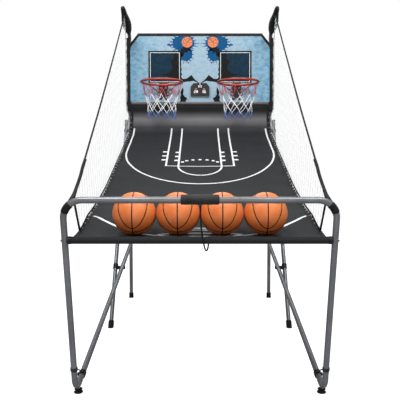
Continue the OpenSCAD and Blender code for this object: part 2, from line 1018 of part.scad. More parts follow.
// Hollow basketball number i, counted from the left
module basketball(i) {
    x = (i - 2.5) * (ball_d + 1.3);
    color(ball_orange)
        translate([x, -830, 683 + ball_d / 2])
            difference() {
                sphere(d = ball_d);
                sphere(d = ball_d - 6);
            }
}

rear_post(-1);  // rear_post_left
rear_post(1);  // rear_post_right
net_arms();
arm_pads();
mid_leg(-1);  // mid_leg_left
mid_leg(1);  // mid_leg_right
rear_feet();
mid_feet();
tube_plugs();
post_clamps();
rear_cross_tube();
mid_cross_tube();
ramp_top_tube();
board_rails();
tube_inserts();
frame_bolts();
hinge_bolts();
brace_saddles();
backboard();
backboard_trim();
board_screws();
hoop(-1);  // hoop_left
hoop(1);  // hoop_right
hoop_brackets();
bracket_bolts();
bracket_back_plates();
hoop_net(-1);  // hoop_net_left
hoop_net(1);  // hoop_net_right
scoreboard_case();
scoreboard_lens();
scoreboard_circuit();
court_main();
side_net(-1);  // side_net_left
side_net(1);  // side_net_right
post_sleeves();
score_button(-button_x);  // power_button
score_button(button_x);  // mode_button
crossbar();
crossbar_grip();
front_leg(-1);  // front_leg_left
front_leg(1);  // front_leg_right
frame_couplers();
brace_tube(-1);  // brace_tube_left
brace_tube(1);  // brace_tube_right
brace_plugs();
leg_collars();
leg_stays();
foot_nuts();
front_bar();
front_bar_caps();
leg_bolts();
court_front();
net_straps();
pull_cord();
levelling_foot(-1);  // levelling_foot_left
levelling_foot(1);  // levelling_foot_right
basketball(1);  // basketball_1
basketball(2);  // basketball_2
basketball(3);  // basketball_3
basketball(4);  // basketball_4
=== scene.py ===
"""Two-player basketball hoop machine: a steel frame that folds up, a printed
backboard, two hoops with nets, a cloth court, side nets and four balls."""
import bisect
import math
import random

import bmesh
import bpy
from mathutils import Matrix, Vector, kdtree


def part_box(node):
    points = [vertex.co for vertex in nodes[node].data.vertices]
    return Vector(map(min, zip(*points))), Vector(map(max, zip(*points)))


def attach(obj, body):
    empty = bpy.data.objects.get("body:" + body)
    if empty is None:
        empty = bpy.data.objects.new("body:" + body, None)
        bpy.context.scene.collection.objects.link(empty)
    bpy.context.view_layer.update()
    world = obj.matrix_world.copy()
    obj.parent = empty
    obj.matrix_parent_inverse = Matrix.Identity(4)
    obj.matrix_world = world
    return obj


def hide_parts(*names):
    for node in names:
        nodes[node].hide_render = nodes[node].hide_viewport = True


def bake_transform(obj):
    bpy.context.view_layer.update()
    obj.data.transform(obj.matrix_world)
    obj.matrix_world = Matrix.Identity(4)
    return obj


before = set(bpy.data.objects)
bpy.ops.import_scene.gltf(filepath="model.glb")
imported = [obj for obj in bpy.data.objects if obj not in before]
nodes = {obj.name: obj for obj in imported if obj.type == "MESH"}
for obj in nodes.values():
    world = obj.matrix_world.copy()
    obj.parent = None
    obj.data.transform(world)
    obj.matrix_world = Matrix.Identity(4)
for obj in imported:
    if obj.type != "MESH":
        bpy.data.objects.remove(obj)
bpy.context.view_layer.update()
scene = bpy.context.scene

# ---------------------------------------------------------------- Camera
# The camera stands a little over three metres in front of the backboard, at
# the height of a child's eyes, and looks slightly down.
camera_data = bpy.data.cameras.new("camera")
camera_data.lens = 50
camera_data.sensor_width = 36
camera = bpy.data.objects.new("camera", camera_data)
camera.location = (0, -3.095, 0.955)
camera.rotation_euler = (math.radians(86.8), 0, 0)
scene.collection.objects.link(camera)
scene.camera = camera

# ------------------------------------------------------------- Pull cord
# A thin braided polyester cord. It leaves the underside of the grip, hangs in
# a loop in front of the front bar and is tied to the bar's pocket behind it.


def linear(hex_colour):
    """An sRGB hex colour as linear RGBA."""
    parts = [int(hex_colour[i:i + 2], 16) / 255 for i in (1, 3, 5)]
    curve = [p / 12.92 if p <= 0.04045 else ((p + 0.055) / 1.055) ** 2.4 for p in parts]
    return (*curve, 1.0)


def material(name):
    """A new node material, its node tree and its Principled shader."""
    made = bpy.data.materials.new(name)
    made.use_nodes = True
    return made, made.node_tree, made.node_tree.nodes["Principled BSDF"]


def add(tree, kind, inputs=(), **settings):
    """Adds one shader node, with its settings and with its inputs set or linked."""
    node = tree.nodes.new("ShaderNode" + kind)
    for key, value in settings.items():
        setattr(node, key, value)
    for key, value in dict(inputs).items():
        if isinstance(value, bpy.types.NodeSocket):
            tree.links.new(value, node.inputs[key])
        else:
            node.inputs[key].default_value = value
    return node


def object_space(tree):
    return add(tree, "TexCoord").outputs["Object"]


def noise(tree, scale, detail=2):
    """A soft noise, with its scale in cells to the metre."""
    return add(tree, "TexNoise", {"Vector": object_space(tree), "Scale": scale,
                                  "Detail": detail}).outputs["Fac"]


def wave(tree, scale, warp=0.0, way="DIAGONAL"):
    """Parallel bands, pi / 10 / scale metres apart."""
    return add(tree, "TexWave", {"Vector": object_space(tree), "Scale": scale,
                                 "Distortion": warp}, bands_direction=way).outputs["Fac"]


def cells(tree, scale):
    """Packed round cells, with their scale in cells to the metre."""
    return add(tree, "TexVoronoi", {"Vector": object_space(tree),
                                    "Scale": scale}).outputs["Distance"]


def maths(tree, operation, *values):
    return add(tree, "Math", dict(enumerate(values)), operation=operation).outputs[0]


def spread(tree, value, low, high, start=0.0, end=1.0):
    """Maps a value that runs from start to end onto low to high."""
    return add(tree, "MapRange", {"Value": value, "From Min": start, "From Max": end,
                                  "To Min": low, "To Max": high}).outputs[0]


def tinted(tree, value, *stops):
    """Turns a value into a colour, by (place, sRGB hex) stops."""
    ramp = add(tree, "ValToRGB", {"Fac": value})
    band = ramp.color_ramp
    while len(band.elements) < len(stops):
        band.elements.new(0.5)
    for element, (place, colour) in zip(band.elements, stops):
        element.position = place
        element.color = linear(colour)
    return ramp.outputs[0]


def mixed(tree, share, first, second, way="MIX"):
    return add(tree, "MixRGB", {"Fac": share, "Color1": first, "Color2": second},
               blend_type=way).outputs[0]


def surface(tree, skin, colour, roughness, height=None, strength=0.0, depth=0.0, **settings):
    """Sets a shader's colour, its roughness and its relief, whose depth is in metres."""
    tree.links.new(colour, skin.inputs["Base Color"])
    if isinstance(roughness, float):
        skin.inputs["Roughness"].default_value = roughness
    else:
        tree.links.new(roughness, skin.inputs["Roughness"])
    if height:
        bump = add(tree, "Bump", {"Height": height, "Strength": strength, "Distance": depth},
                   **settings)
        tree.links.new(bump.outputs[0], skin.inputs["Normal"])


def braided_cord():
    """Braided polyester: matt black, with a fine diagonal rib that catches light."""
    made, tree, skin = material("braided_polyester")
    rib = wave(tree, 700, 1.5)
    tint = tinted(tree, rib, (0.0, "#060607"), (1.0, "#131315"))
    surface(tree, skin, tint, 0.75, rib, 0.4, 0.0004)
    skin.inputs["Specular IOR Level"].default_value = 0.2
    return made


CORD_ROUTE = [
    (2, -994, 817), (2, -994, 804), (2, -994, 790), (2, -995, 775), (3, -996, 760),
    (4, -997, 745), (5, -998, 730), (7, -998, 715), (9, -997, 699), (12, -995, 683),
    (15, -991, 667), (18, -985, 654), (21, -977, 645), (24, -968, 641),
    (27, -959, 641), (30, -951, 646), (32, -947, 655), (33, -946, 664),
    (33, -948, 670),
]
CORD_WIDTH = 0.0060


def make_cord():
    line = bpy.data.curves.new("pull_cord_line", "CURVE")
    line.dimensions = "3D"
    line.bevel_depth = CORD_WIDTH / 2
    line.bevel_resolution = 3
    line.use_fill_caps = True
    run = line.splines.new("BEZIER")
    run.bezier_points.add(len(CORD_ROUTE) - 1)
    for knot, place in zip(run.bezier_points, CORD_ROUTE):
        knot.co = Vector(place) / 1000
        knot.handle_left_type = knot.handle_right_type = "AUTO"
    line.materials.append(braided_cord())
    piece = bpy.data.objects.new("pull_cord_braid", line)
    scene.collection.objects.link(piece)
    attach(piece, "front_frame")
    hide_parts("pull_cord")


make_cord()

# ----------------------------------------------------------- Steel frame
# One-inch steel tube, bent cold and powder-coated in a satin grey. The coat
# has a faint orange peel and darkens a little in soft patches.


def dress(names, made):
    """Gives CAD nodes one material."""
    for name in names:
        node = nodes[name]
        node.data.materials.clear()
        node.data.materials.append(made)


def powder_coat(name, dark, light, gloss, metallic):
    """Powder coat: an even satin skin with a shallow orange peel."""
    made, tree, skin = material(name)
    cloud = noise(tree, 9, 4)
    # Orange peel is about 1 mm across and is drawn at 4 mm so that it shows.
    peel = noise(tree, 250, 1)
    surface(tree, skin, tinted(tree, cloud, (0.3, dark), (0.7, light)),
            spread(tree, cloud, gloss - 0.06, gloss + 0.1), peel, 0.12, 0.0006)
    skin.inputs["Metallic"].default_value = metallic
    return made


grey_coat = powder_coat("powder_coated_steel", "#626467", "#76787c", 0.36, 0.45)
dress(["rear_post_left", "rear_post_right", "net_arms", "mid_leg_left", "mid_leg_right",
       "rear_cross_tube", "mid_cross_tube", "board_rails",
       "bracket_back_plates", "crossbar", "front_leg_left", "front_leg_right",
       "brace_tube_left", "brace_tube_right", "front_bar"], grey_coat)
dark_coat = powder_coat("dark_powder_coated_steel", "#4a4644", "#575250", 0.45, 0.3)
dress(["ramp_top_tube"], dark_coat)
black_coat = powder_coat("black_powder_coated_steel", "#121213", "#1d1d1f", 0.35, 0.2)
dress(["hoop_brackets", "leg_stays"], black_coat)

# ------------------------------------------------------------- Fasteners
# Bolts, nuts and coupling sleeves are zinc-plated steel, with a slight
# cloudiness in the plating.


def zinc_plate():
    """Bright zinc: a pale metal with faint clouds in its shine."""
    made, tree, skin = material("zinc_plated_steel")
    cloud = noise(tree, 160, 3)
    surface(tree, skin, tinted(tree, cloud, (0.3, "#b9bdc2"), (0.7, "#dadde0")),
            spread(tree, cloud, 0.2, 0.36))
    skin.inputs["Metallic"].default_value = 1.0
    return made


dress(["frame_bolts", "hinge_bolts", "board_screws", "bracket_bolts", "frame_couplers",
       "foot_nuts", "leg_bolts"], zinc_plate())

# ------------------------------------------------- Plastic parts and feet
# Clamps, collars, plugs and cradles are moulded black nylon with a spark
# eroded texture. The feet are moulded rubber, matt and slightly dusty.


def moulded(name, dark, light, gloss, grain_mm, depth_mm):
    """Moulded plastic or rubber: one body colour, with the mould's fine texture."""
    made, tree, skin = material(name)
    grain = noise(tree, 1000 / grain_mm)
    surface(tree, skin, tinted(tree, noise(tree, 14, 3), (0.3, dark), (0.75, light)),
            spread(tree, grain, gloss - 0.08, gloss + 0.08), grain, 0.3, depth_mm / 1000)
    skin.inputs["Specular IOR Level"].default_value = 0.2
    return made


black_nylon = moulded("moulded_nylon", "#111112", "#1c1d1f", 0.45, 1.5, 0.2)
dress(["tube_plugs", "post_clamps", "tube_inserts", "brace_saddles", "backboard_trim",
       "power_button", "mode_button", "brace_plugs", "leg_collars", "front_bar_caps"],
      black_nylon)
foot_rubber = moulded("moulded_rubber", "#0e0e0e", "#1b1b1b", 0.75, 2.0, 0.3)
dress(["rear_feet", "mid_feet", "levelling_foot_left", "levelling_foot_right"], foot_rubber)
case_plastic = moulded("moulded_abs", "#232324", "#2d2d2e", 0.5, 1.5, 0.2)
dress(["scoreboard_case"], case_plastic)
dress(["scoreboard_lens"], moulded("smoked_acrylic", "#1a1817", "#242120", 0.25, 8, 0.02))
dress(["scoreboard_circuit"], moulded("solder_mask", "#123c22", "#1c5230", 0.4, 3, 0.05))

hoop_paint = powder_coat("red_powder_coated_steel", "#8f2c1d", "#a03624", 0.3, 0.0)
dress(["hoop_left", "hoop_right"], hoop_paint)

# ------------------------------------------------------------ Foam sleeves
# Each net arm ends in a soft foam sleeve with a closed, rounded end, and a
# ribbed foam grip is slid over the joint in the middle of the crossbar.


def grid_faces(rows, columns, loop_rows=False, loop_columns=False):
    """The quads of a grid of points that are numbered row by row."""
    faces = []
    for row in range(rows if loop_rows else rows - 1):
        for column in range(columns if loop_columns else columns - 1):
            below, beside = (row + 1) % rows, (column + 1) % columns
            faces.append((row * columns + column, row * columns + beside,
                          below * columns + beside, below * columns + column))
    return faces


def make_piece(name, shapes, made, body=None, stands_for=()):
    """A mesh object from (points, faces) shapes, with its body, nodes and slot."""
    mesh = bpy.data.meshes.new(name)
    points, faces = [], []
    for some_points, some_faces in shapes:
        start = len(points)
        points += some_points
        faces += [tuple(start + i for i in face) for face in some_faces]
    mesh.from_pydata(points, [], faces)
    work = bmesh.new()
    work.from_mesh(mesh)
    bmesh.ops.remove_doubles(work, verts=work.verts, dist=1e-6)
    bmesh.ops.recalc_face_normals(work, faces=work.faces)
    work.to_mesh(mesh)
    work.free()
    mesh.shade_smooth()
    mesh.materials.append(made)
    piece = bpy.data.objects.new(name, mesh)
    scene.collection.objects.link(piece)
    if body:
        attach(piece, body)
    if stands_for:
        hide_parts(*stands_for)
    return piece


def turned(base, way, profile, sides=40):
    """A closed profile of (distance, radius) turned about a line."""
    axis = Vector(way).normalized()
    out = axis.orthogonal().normalized()
    over = axis.cross(out)
    points = []
    for distance, radius in profile:
        for i in range(sides):
            angle = 2 * math.pi * i / sides
            spoke = out * math.cos(angle) + over * math.sin(angle)
            points.append(Vector(base) + axis * distance + spoke * radius)
    return points, grid_faces(len(profile), sides, loop_rows=True, loop_columns=True)


def foam(name, dark, light):
    """EVA foam: matt black cells with a soft, slightly dusty skin."""
    made, tree, skin = material(name)
    tint = tinted(tree, noise(tree, 22, 4), (0.3, dark), (0.75, light))
    # Foam cells are about 1 mm across and are drawn at 3 mm so that they show.
    surface(tree, skin, tint, 0.7, cells(tree, 330), 0.5, 0.0006)
    skin.inputs["Specular IOR Level"].default_value = 0.3
    skin.inputs["Sheen Weight"].default_value = 0.04
    return made


SIDES = ((-1, "left"), (1, "right"))
TUBE_RADIUS = 0.0127
ARM_CORNER = Vector((0.511, 0.995, 1.920))
ARM_TIP = Vector((0.511, 0.648, 2.019))
PAD_START = 0.036
PAD_LINE = [(0.0, 0.0138), (0.010, 0.0158), (0.026, 0.0196), (0.040, 0.0228), (0.062, 0.0266),
            (0.085, 0.0292), (0.108, 0.0308), (0.130, 0.0316), (0.150, 0.0312),
            (0.180, 0.0286), (0.210, 0.0247), (0.240, 0.0212), (0.270, 0.0186),
            (0.290, 0.0172), (0.308, 0.0159), (0.316, 0.0150), (0.322, 0.0136),
            (0.327, 0.0112), (0.3295, 0.0080), (0.3305, 0.0040)]
GRIP_HALF, GRIP_RADIUS = 0.073, 0.0200
GRIP_AT = Vector((0, -0.994, 0.839))


def make_foam_sleeves():
    pad_foam = foam("eva_foam", "#060607", "#0f0f11")
    profile = [(PAD_START, TUBE_RADIUS + 0.0006)]
    for (near, thin), (far, thick) in zip(PAD_LINE, PAD_LINE[1:]):
        for k in range(3):
            place = near + (far - near) * k / 3
            fold = 0.0004 * math.sin(place * 190) + 0.0003 * math.sin(place * 410 + 1)
            profile.append((PAD_START + place, thin + (thick - thin) * k / 3 + fold))
    end = PAD_START + PAD_LINE[-1][0]
    profile += [(end, 0.0), (end - 0.004, 0.0), (end - 0.004, TUBE_RADIUS + 0.0006)]
    for side, name in SIDES:
        base = Vector((side * ARM_CORNER.x, ARM_CORNER.y, ARM_CORNER.z))
        sleeve = make_piece(f"arm_sleeve_{name}", [turned(base, ARM_TIP - ARM_CORNER, profile)],
                            pad_foam, "root", ["arm_pads"])
    # Ribs 6 mm apart run round the grip, and its ends are rounded over.
    steps = 96
    profile = [(-GRIP_HALF, TUBE_RADIUS + 0.0008), (-GRIP_HALF, GRIP_RADIUS - 0.004)]
    for i in range(1, steps):
        place = -GRIP_HALF + 2 * GRIP_HALF * i / steps
        rim = min(1, (GRIP_HALF - abs(place)) / 0.004)
        rib = 0.0004 * math.cos(2 * math.pi * place / 0.006)
        profile.append((place, GRIP_RADIUS - 0.0005 + rib - 0.0035 * (1 - rim) ** 2))
    profile += [(GRIP_HALF, GRIP_RADIUS - 0.004), (GRIP_HALF, TUBE_RADIUS + 0.0008)]
    grip = make_piece("crossbar_foam_grip", [turned(GRIP_AT, (1, 0, 0), profile)],
                      foam("ribbed_eva_foam", "#161617", "#29292b"), "front_frame",
                      ["crossbar_grip"])


make_foam_sleeves()

# --------------------------------------------------------------- Backboard
# An MDF panel with a printed and varnished face, held in a moulded trim. The
# print is flat ink shapes on pale blue, the right half a mirror of the left.
BOARD_FACE = 0.9695
BOARD_TOP = 1.911
INK = 0.00015
BALL_MARK = (0.0936, 1.868)


def printed_panel():
    """Varnished print on MDF: pale blue, mottled in teal toward the sides; the back is bare."""
    made, tree, skin = material("printed_panel")
    axes = add(tree, "SeparateXYZ", {0: object_space(tree)})
    side = maths(tree, "ABSOLUTE", axes.outputs["X"])
    # The brushed mottle has patches of 10 to 60 mm, longer across than up.
    stretch = add(tree, "Mapping", {"Vector": object_space(tree), "Scale": (26, 1, 42)})
    mottle = add(tree, "TexNoise", {"Vector": stretch.outputs[0], "Scale": 1.0, "Detail": 9,
                                    "Roughness": 0.72}).outputs["Fac"]
    amount = maths(tree, "ADD", mottle, spread(tree, side, 0.0, 0.2, 0.2, 0.5))
    speck = noise(tree, 140)
    print_ink = mixed(tree, 1.0, tinted(tree, amount, (0.42, "#92a8b5"), (0.55, "#89a2b2"),
                                        (0.66, "#7099b0"), (0.78, "#47809f")),
                      tinted(tree, speck, (0.3, "#d9e6ee"), (0.5, "#ffffff")), "MULTIPLY")
    bare = tinted(tree, noise(tree, 60, 6), (0.3, "#6a5440"), (0.7, "#86705a"))
    facing = add(tree, "SeparateXYZ", {0: add(tree, "NewGeometry").outputs["Normal"]})
    back = maths(tree, "GREATER_THAN", facing.outputs["Y"], -0.5)
    surface(tree, skin, mixed(tree, back, print_ink, bare), 0.42, speck, 0.05, 0.0003)
    return made


def ink(name, dark, light, grain=90):
    """Printing ink: a flat colour with the slight unevenness of a screen print."""
    made, tree, skin = material(name)
    surface(tree, skin, tinted(tree, noise(tree, grain, 5), (0.35, dark), (0.7, light)), 0.5)
    skin.inputs["Specular IOR Level"].default_value = 0.1
    return made


def slab(outline, front, back, side=1):
    """A flat shape of (x, z) points, from one y to another."""
    count = len(outline)
    points = [Vector((side * x, y, z)) for y in (front, back) for x, z in outline]
    faces = [tuple(range(count)), tuple(range(2 * count - 1, count - 1, -1))]
    faces += [(i, (i + 1) % count, count + (i + 1) % count, count + i) for i in range(count)]
    return points, faces


def ink_shape(outline, layer, side=1):
    """A shape printed on the board's face, a little prouder for each layer."""
    return slab(outline, BOARD_FACE - INK * layer, BOARD_FACE + 0.0002, side)


def box_outline(left, right, low, high):
    return [(left, low), (right, low), (right, high), (left, high)]


def stroke(points, width):
    """A line of (x, z) points as the outline of a band of that width."""
    left, right = [], []
    for i, (x, z) in enumerate(points):
        before, after = points[max(i - 1, 0)], points[min(i + 1, len(points) - 1)]
        way = Vector((after[0] - before[0], after[1] - before[1])).normalized()
        left.append((x - way.y * width / 2, z + way.x * width / 2))
        right.append((x + way.y * width / 2, z - way.x * width / 2))
    return left + right[::-1]


def splash(x, z, width, height, fingers, reach, dice):
    """A thrown-ink blot: an oval with thin fingers of seeded length."""
    outline = []
    for finger in range(fingers):
        length = 1 + reach * dice.uniform(0.15, 1.0)
        waist = dice.uniform(0.78, 0.92)
        lean = dice.uniform(-0.15, 0.15)
        for place, size in ((0.0, waist), (0.36, waist + 0.08), (0.46 + lean, length),
                            (0.54 + lean, length), (0.66, waist + 0.06)):
            angle = 2 * math.pi * (finger + place) / fingers
            outline.append((x + width / 2 * size * math.cos(angle),
                            min(z + height / 2 * size * math.sin(angle), BOARD_TOP)))
    return outline


def oval(x, z, half_width, half_height, start, end, steps):
    """Points on an oval, from one angle to another in degrees."""
    angles = [math.radians(start + (end - start) * i / steps) for i in range(steps + 1)]
    return [(x + half_width * math.cos(a), z + half_height * math.sin(a)) for a in angles]


def make_backboard():
    dress(["backboard"], printed_panel())
    black, blue, white, teal, orange, brown = [], [], [], [], [], []
    for side in (-1, 1):
        dice = random.Random(7)
        blue.append(ink_shape(splash(0.120, 1.860, 0.186, 0.134, 19, 0.30, dice), 1, side))
        blue.append(ink_shape(splash(0.100, 1.782, 0.100, 0.118, 13, 0.28, dice), 1, side))
        for x, z, size in ((0.2235, 1.850, 0.024), (0.208, 1.868, 0.009), (0.196, 1.886, 0.010),
                           (0.212, 1.838, 0.010), (0.083, 1.721, 0.013), (0.068, 1.737, 0.008),
                           (0.056, 1.752, 0.007), (0.094, 1.739, 0.009), (0.043, 1.870, 0.008),
                           (0.034, 1.850, 0.007), (0.101, 1.722, 0.007)):
            blue.append(ink_shape(splash(x, z, size, size * 0.8, 7, 0.35, dice), 1, side))
        blue.append(ink_shape([(0.170, 1.852), (0.214, 1.841), (0.247, 1.846), (0.232, 1.852),
                               (0.214, 1.851), (0.170, 1.868)], 1.2, side))
        # A broad brush stroke runs from the ball to the square's inner corner.
        black.append(ink_shape([(0.060, 1.838), (0.068, 1.824), (0.092, 1.812), (0.112, 1.793),
                                (0.120, 1.770), (0.137, 1.758), (0.150, 1.790), (0.137, 1.812),
                                (0.116, 1.826), (0.098, 1.839), (0.078, 1.848)], 2, side))
        edge = [(0.150, 1.806)]
        for i in range(13):
            edge.append((0.137 - dice.uniform(0.002, 0.016) * (i % 2), 1.796 - 0.0175 * i))
        black.append(ink_shape(edge + [(0.150, 1.584)], 2, side))
        black.append(ink_shape([(0.165, 1.603), (0.128, 1.604), (0.098, 1.608), (0.078, 1.622),
                                (0.063, 1.634), (0.050, 1.618), (0.036, 1.601), (0.018, 1.586),
                                (0.0, 1.574), (0.0, 1.566), (0.020, 1.580), (0.046, 1.592),
                                (0.070, 1.588), (0.100, 1.586), (0.165, 1.572)], 2.2, side))
        black.append(ink_shape([(0.100, 1.441), (0.147, 1.441), (0.140, 1.456), (0.146, 1.472),
                                (0.137, 1.490), (0.141, 1.512), (0.130, 1.536), (0.122, 1.546),
                                (0.119, 1.520), (0.122, 1.496), (0.114, 1.480), (0.096, 1.470),
                                (0.093, 1.458), (0.104, 1.452)], 2, side))
        # The target square: black border, white line, dark panel, brushed ink.
        black.append(ink_shape(box_outline(0.137, 0.373, 1.578, 1.806), 3, side))
        white.append(ink_shape(box_outline(0.1464, 0.3612, 1.5833, 1.7953), 4, side))
        black.append(ink_shape(box_outline(0.1508, 0.3568, 1.5875, 1.7910), 5, side))
        teal.append(ink_shape(box_outline(0.1535, 0.3540, 1.5890, 1.7890), 6, side))
        black.append(ink_shape([(0.1545, 1.590), (0.214, 1.590), (0.206, 1.604), (0.211, 1.617),
                                (0.235, 1.626), (0.266, 1.632), (0.281, 1.640), (0.256, 1.640),
                                (0.226, 1.648), (0.206, 1.662), (0.198, 1.684), (0.202, 1.704),
                                (0.212, 1.720), (0.206, 1.742), (0.188, 1.758), (0.196, 1.776),
                                (0.186, 1.788), (0.1545, 1.788)], 7, side))
        orange.append(ink_shape(oval(*BALL_MARK, 0.0383, 0.0383, 0, 354, 59), 3, side))
        x, z = BALL_MARK
        for at_x, at_z, size, start, end, steps in (
                (x, z, 0.0375, 152, -28, 2), (x + 0.034, z + 0.050, 0.060, 183, 284, 12),
                (x - 0.045, z - 0.030, 0.052, -24, 82, 12),
                (x - 0.030, z + 0.056, 0.060, -94, -2, 12)):
            inside = [p for p in oval(at_x, at_z, size, size, start, end, steps)
                      if math.hypot(p[0] - x, p[1] - z) < 0.0380]
            brown.append(ink_shape(stroke(inside, 0.0024), 4, side))
    for name, shapes, made in (
            ("board_ink_black", black, ink("black_ink", "#0b0d10", "#17191c")),
            ("board_ink_blue", blue, ink("blue_ink", "#03426c", "#0a4e7d", 60)),
            ("board_ink_white", white, ink("white_ink", "#b9bdbe", "#d6d9d9")),
            ("board_ink_teal", teal, ink("teal_ink", "#0a2433", "#102f41", 40)),
            ("board_ink_orange", orange, ink("orange_ink", "#c4704c", "#cf8560")),
            ("board_ink_brown", brown, ink("brown_ink", "#7c3718", "#8a4220"))):
        piece = make_piece(name, shapes, made, "root", ())
        piece.data.shade_flat()
    # Four nickel-plated caps close the screws at the board's corners.
    cap = [(-0.001, 0.0), (-0.001, 0.0046), (0.0006, 0.0046), (0.0016, 0.0038),
           (0.0023, 0.0022), (0.0026, 0.0)]
    spots = [(side * 0.5075, BOARD_FACE, z) for side in (-1, 1) for z in (1.451, 1.832)]
    caps = [turned(spot, (0, -1, 0), cap, 20) for spot in spots]
    make_piece("board_screw_caps", caps, zinc_plate(), "root", ())


make_backboard()

# -------------------------------------------------------------- Scoreboard
# A small moulded case with a smoked lens. Its red LEDs show a timer over two
# scores, each a pair of seven-bar digits.
LENS_FACE, CASE_FACE = 0.9541, 0.9513
BARS = {"0": "abcdef", "2": "abged", "3": "abgcd", "6": "afgedc", "8": "abcdefg"}


def lit_led():
    """Lit LED bars behind a diffuser: pinkish white, with a faint glow."""
    made, tree, skin = material("lit_led")
    tint = tinted(tree, noise(tree, 300), (0.3, "#e7c9cc"), (0.7, "#f6e6e6"))
    surface(tree, skin, tint, 0.4)
    tree.links.new(tint, skin.inputs["Emission Color"])
    skin.inputs["Emission Strength"].default_value = 0.35
    return made


def led_bar(x, z, width, height):
    """One lit bar, 0.4 mm proud of the lens, with pointed ends."""
    tip = min(width, height) / 2
    left, right, low, high = x - width / 2, x + width / 2, z - height / 2, z + height / 2
    if width > height:
        outline = [(left, z), (left + tip, z - tip), (right - tip, z - tip), (right, z),
                   (right - tip, z + tip), (left + tip, z + tip)]
    else:
        outline = [(x, low), (x + tip, low + tip), (x + tip, high - tip), (x, high),
                   (x - tip, high - tip), (x - tip, low + tip)]
    return slab(outline, LENS_FACE - 0.0004, LENS_FACE + 0.0002)


def led_digit(digit, x, z, width, height):
    """A seven-bar digit centred on x, z."""
    bar = width * 0.26
    half = (height - bar) / 2
    places = {"a": (0, half), "g": (0, 0), "d": (0, -half), "f": (-1, half / 2),
              "b": (1, half / 2), "e": (-1, -half / 2), "c": (1, -half / 2)}
    shapes = []
    for key in BARS[digit]:
        column, level = places[key]
        if key in "agd":
            shapes.append(led_bar(x, z + level, width - bar, bar))
        else:
            shapes.append(led_bar(x + column * (width - bar) / 2, z + level, bar, half))
    return shapes


def make_display():
    shapes = []
    for digits, x, z, width, height in (("60", 0.0, 1.550, 0.0110, 0.0150),
                                        ("28", -0.029, 1.512, 0.0128, 0.0200),
                                        ("36", 0.029, 1.512, 0.0128, 0.0200)):
        for i, digit in enumerate(digits):
            shapes += led_digit(digit, x + (i - 0.5) * width * 1.28, z, width, height)
    make_piece("display_digits", shapes, lit_led(), "root", ()).data.shade_flat()
    # Two plain marks and a round sensor are printed on the case.
    marks = [slab(box_outline(x - 0.008, x + 0.008, 1.5285, 1.5320), CASE_FACE - 0.0002,
                  CASE_FACE + 0.0002) for x in (-0.029, 0.029)]
    marks.append(turned((0, CASE_FACE, 1.5665), (0, -1, 0),
                        [(-0.0005, 0.0), (-0.0005, 0.0042), (0.0004, 0.0042), (0.0010, 0.003),
                         (0.0013, 0.0)], 20))
    make_piece("case_marks", marks, ink("white_marks", "#cfd2d2", "#e4e6e6"), "root", ())


make_display()

# ---------------------------------------------------------- Hoops and nets
# Each hoop is bent steel rod in red powder coat, with nine wire hooks under
# it. A knotted cord net hangs from them, dyed red, white and blue in bands.
HOOP_X, HOOP_Y, HOOP_Z = 0.265, 0.805, 1.558


def tube(points, radius, sides=6, loop=False):
    """A round tube along points, or one whose ends close if it isn't a loop."""
    count = len(points)
    rings = []
    spoke = None
    for i, place in enumerate(points):
        before = points[i - 1] if loop or i else place
        after = points[(i + 1) % count] if loop or i < count - 1 else place
        way = (after - before).normalized()
        spoke = spoke - way * spoke.dot(way) if spoke else way.orthogonal()
        spoke.normalize()
        over = way.cross(spoke)
        size = radius[i] if isinstance(radius, list) else radius
        for k in range(sides):
            angle = 2 * math.pi * k / sides
            rings.append(place + (spoke * math.cos(angle) + over * math.sin(angle)) * size)
    faces = grid_faces(count, sides, loop_rows=loop, loop_columns=True)
    if not loop:
        faces.append(tuple(range(sides))[::-1])
        faces.append(tuple((count - 1) * sides + k for k in range(sides)))
    return rings, faces


def dyed_cord(name, bands, height_from, height_to):
    """Braided polyester cord dyed in bands by height, with a fine rib."""
    made, tree, skin = material(name)
    axes = add(tree, "SeparateXYZ", {0: object_space(tree)})
    bleed = spread(tree, noise(tree, 55), -0.008, 0.008)
    height = maths(tree, "ADD", axes.outputs["Z"], bleed)
    level = spread(tree, height, 0.0, 1.0, height_from, height_to)
    # The braid's rib is 1 mm apart and is drawn at 3 mm so that it shows.
    surface(tree, skin, tinted(tree, level, *bands), 0.7, wave(tree, 105, 1.0), 0.4,
            0.0004)
    skin.inputs["Sheen Weight"].default_value = 0.15
    return made


NET_COLUMNS = 9
NET_ROWS = [(1.5405, 0.1330), (1.4560, 0.1135), (1.4000, 0.0985), (1.3530, 0.0970),
            (1.3085, 0.0960)]
NET_CORD = 0.0020


def net_point(side, row, column, dice):
    """A knot of the net, with the small unevenness of one tied by hand."""
    height, radius = NET_ROWS[row]
    angle = math.radians(-90 + 23 + 360 / NET_COLUMNS * (column + (row % 2) * 0.5))
    if row:
        angle += math.radians(dice.uniform(-2.5, 2.5))
        height += dice.uniform(-0.014, 0.014) if row == 1 else dice.uniform(-0.003, 0.003)
        radius -= dice.uniform(0.0, 0.003)
    return Vector((side * HOOP_X + radius * math.cos(angle),
                   HOOP_Y + radius * math.sin(angle), height))


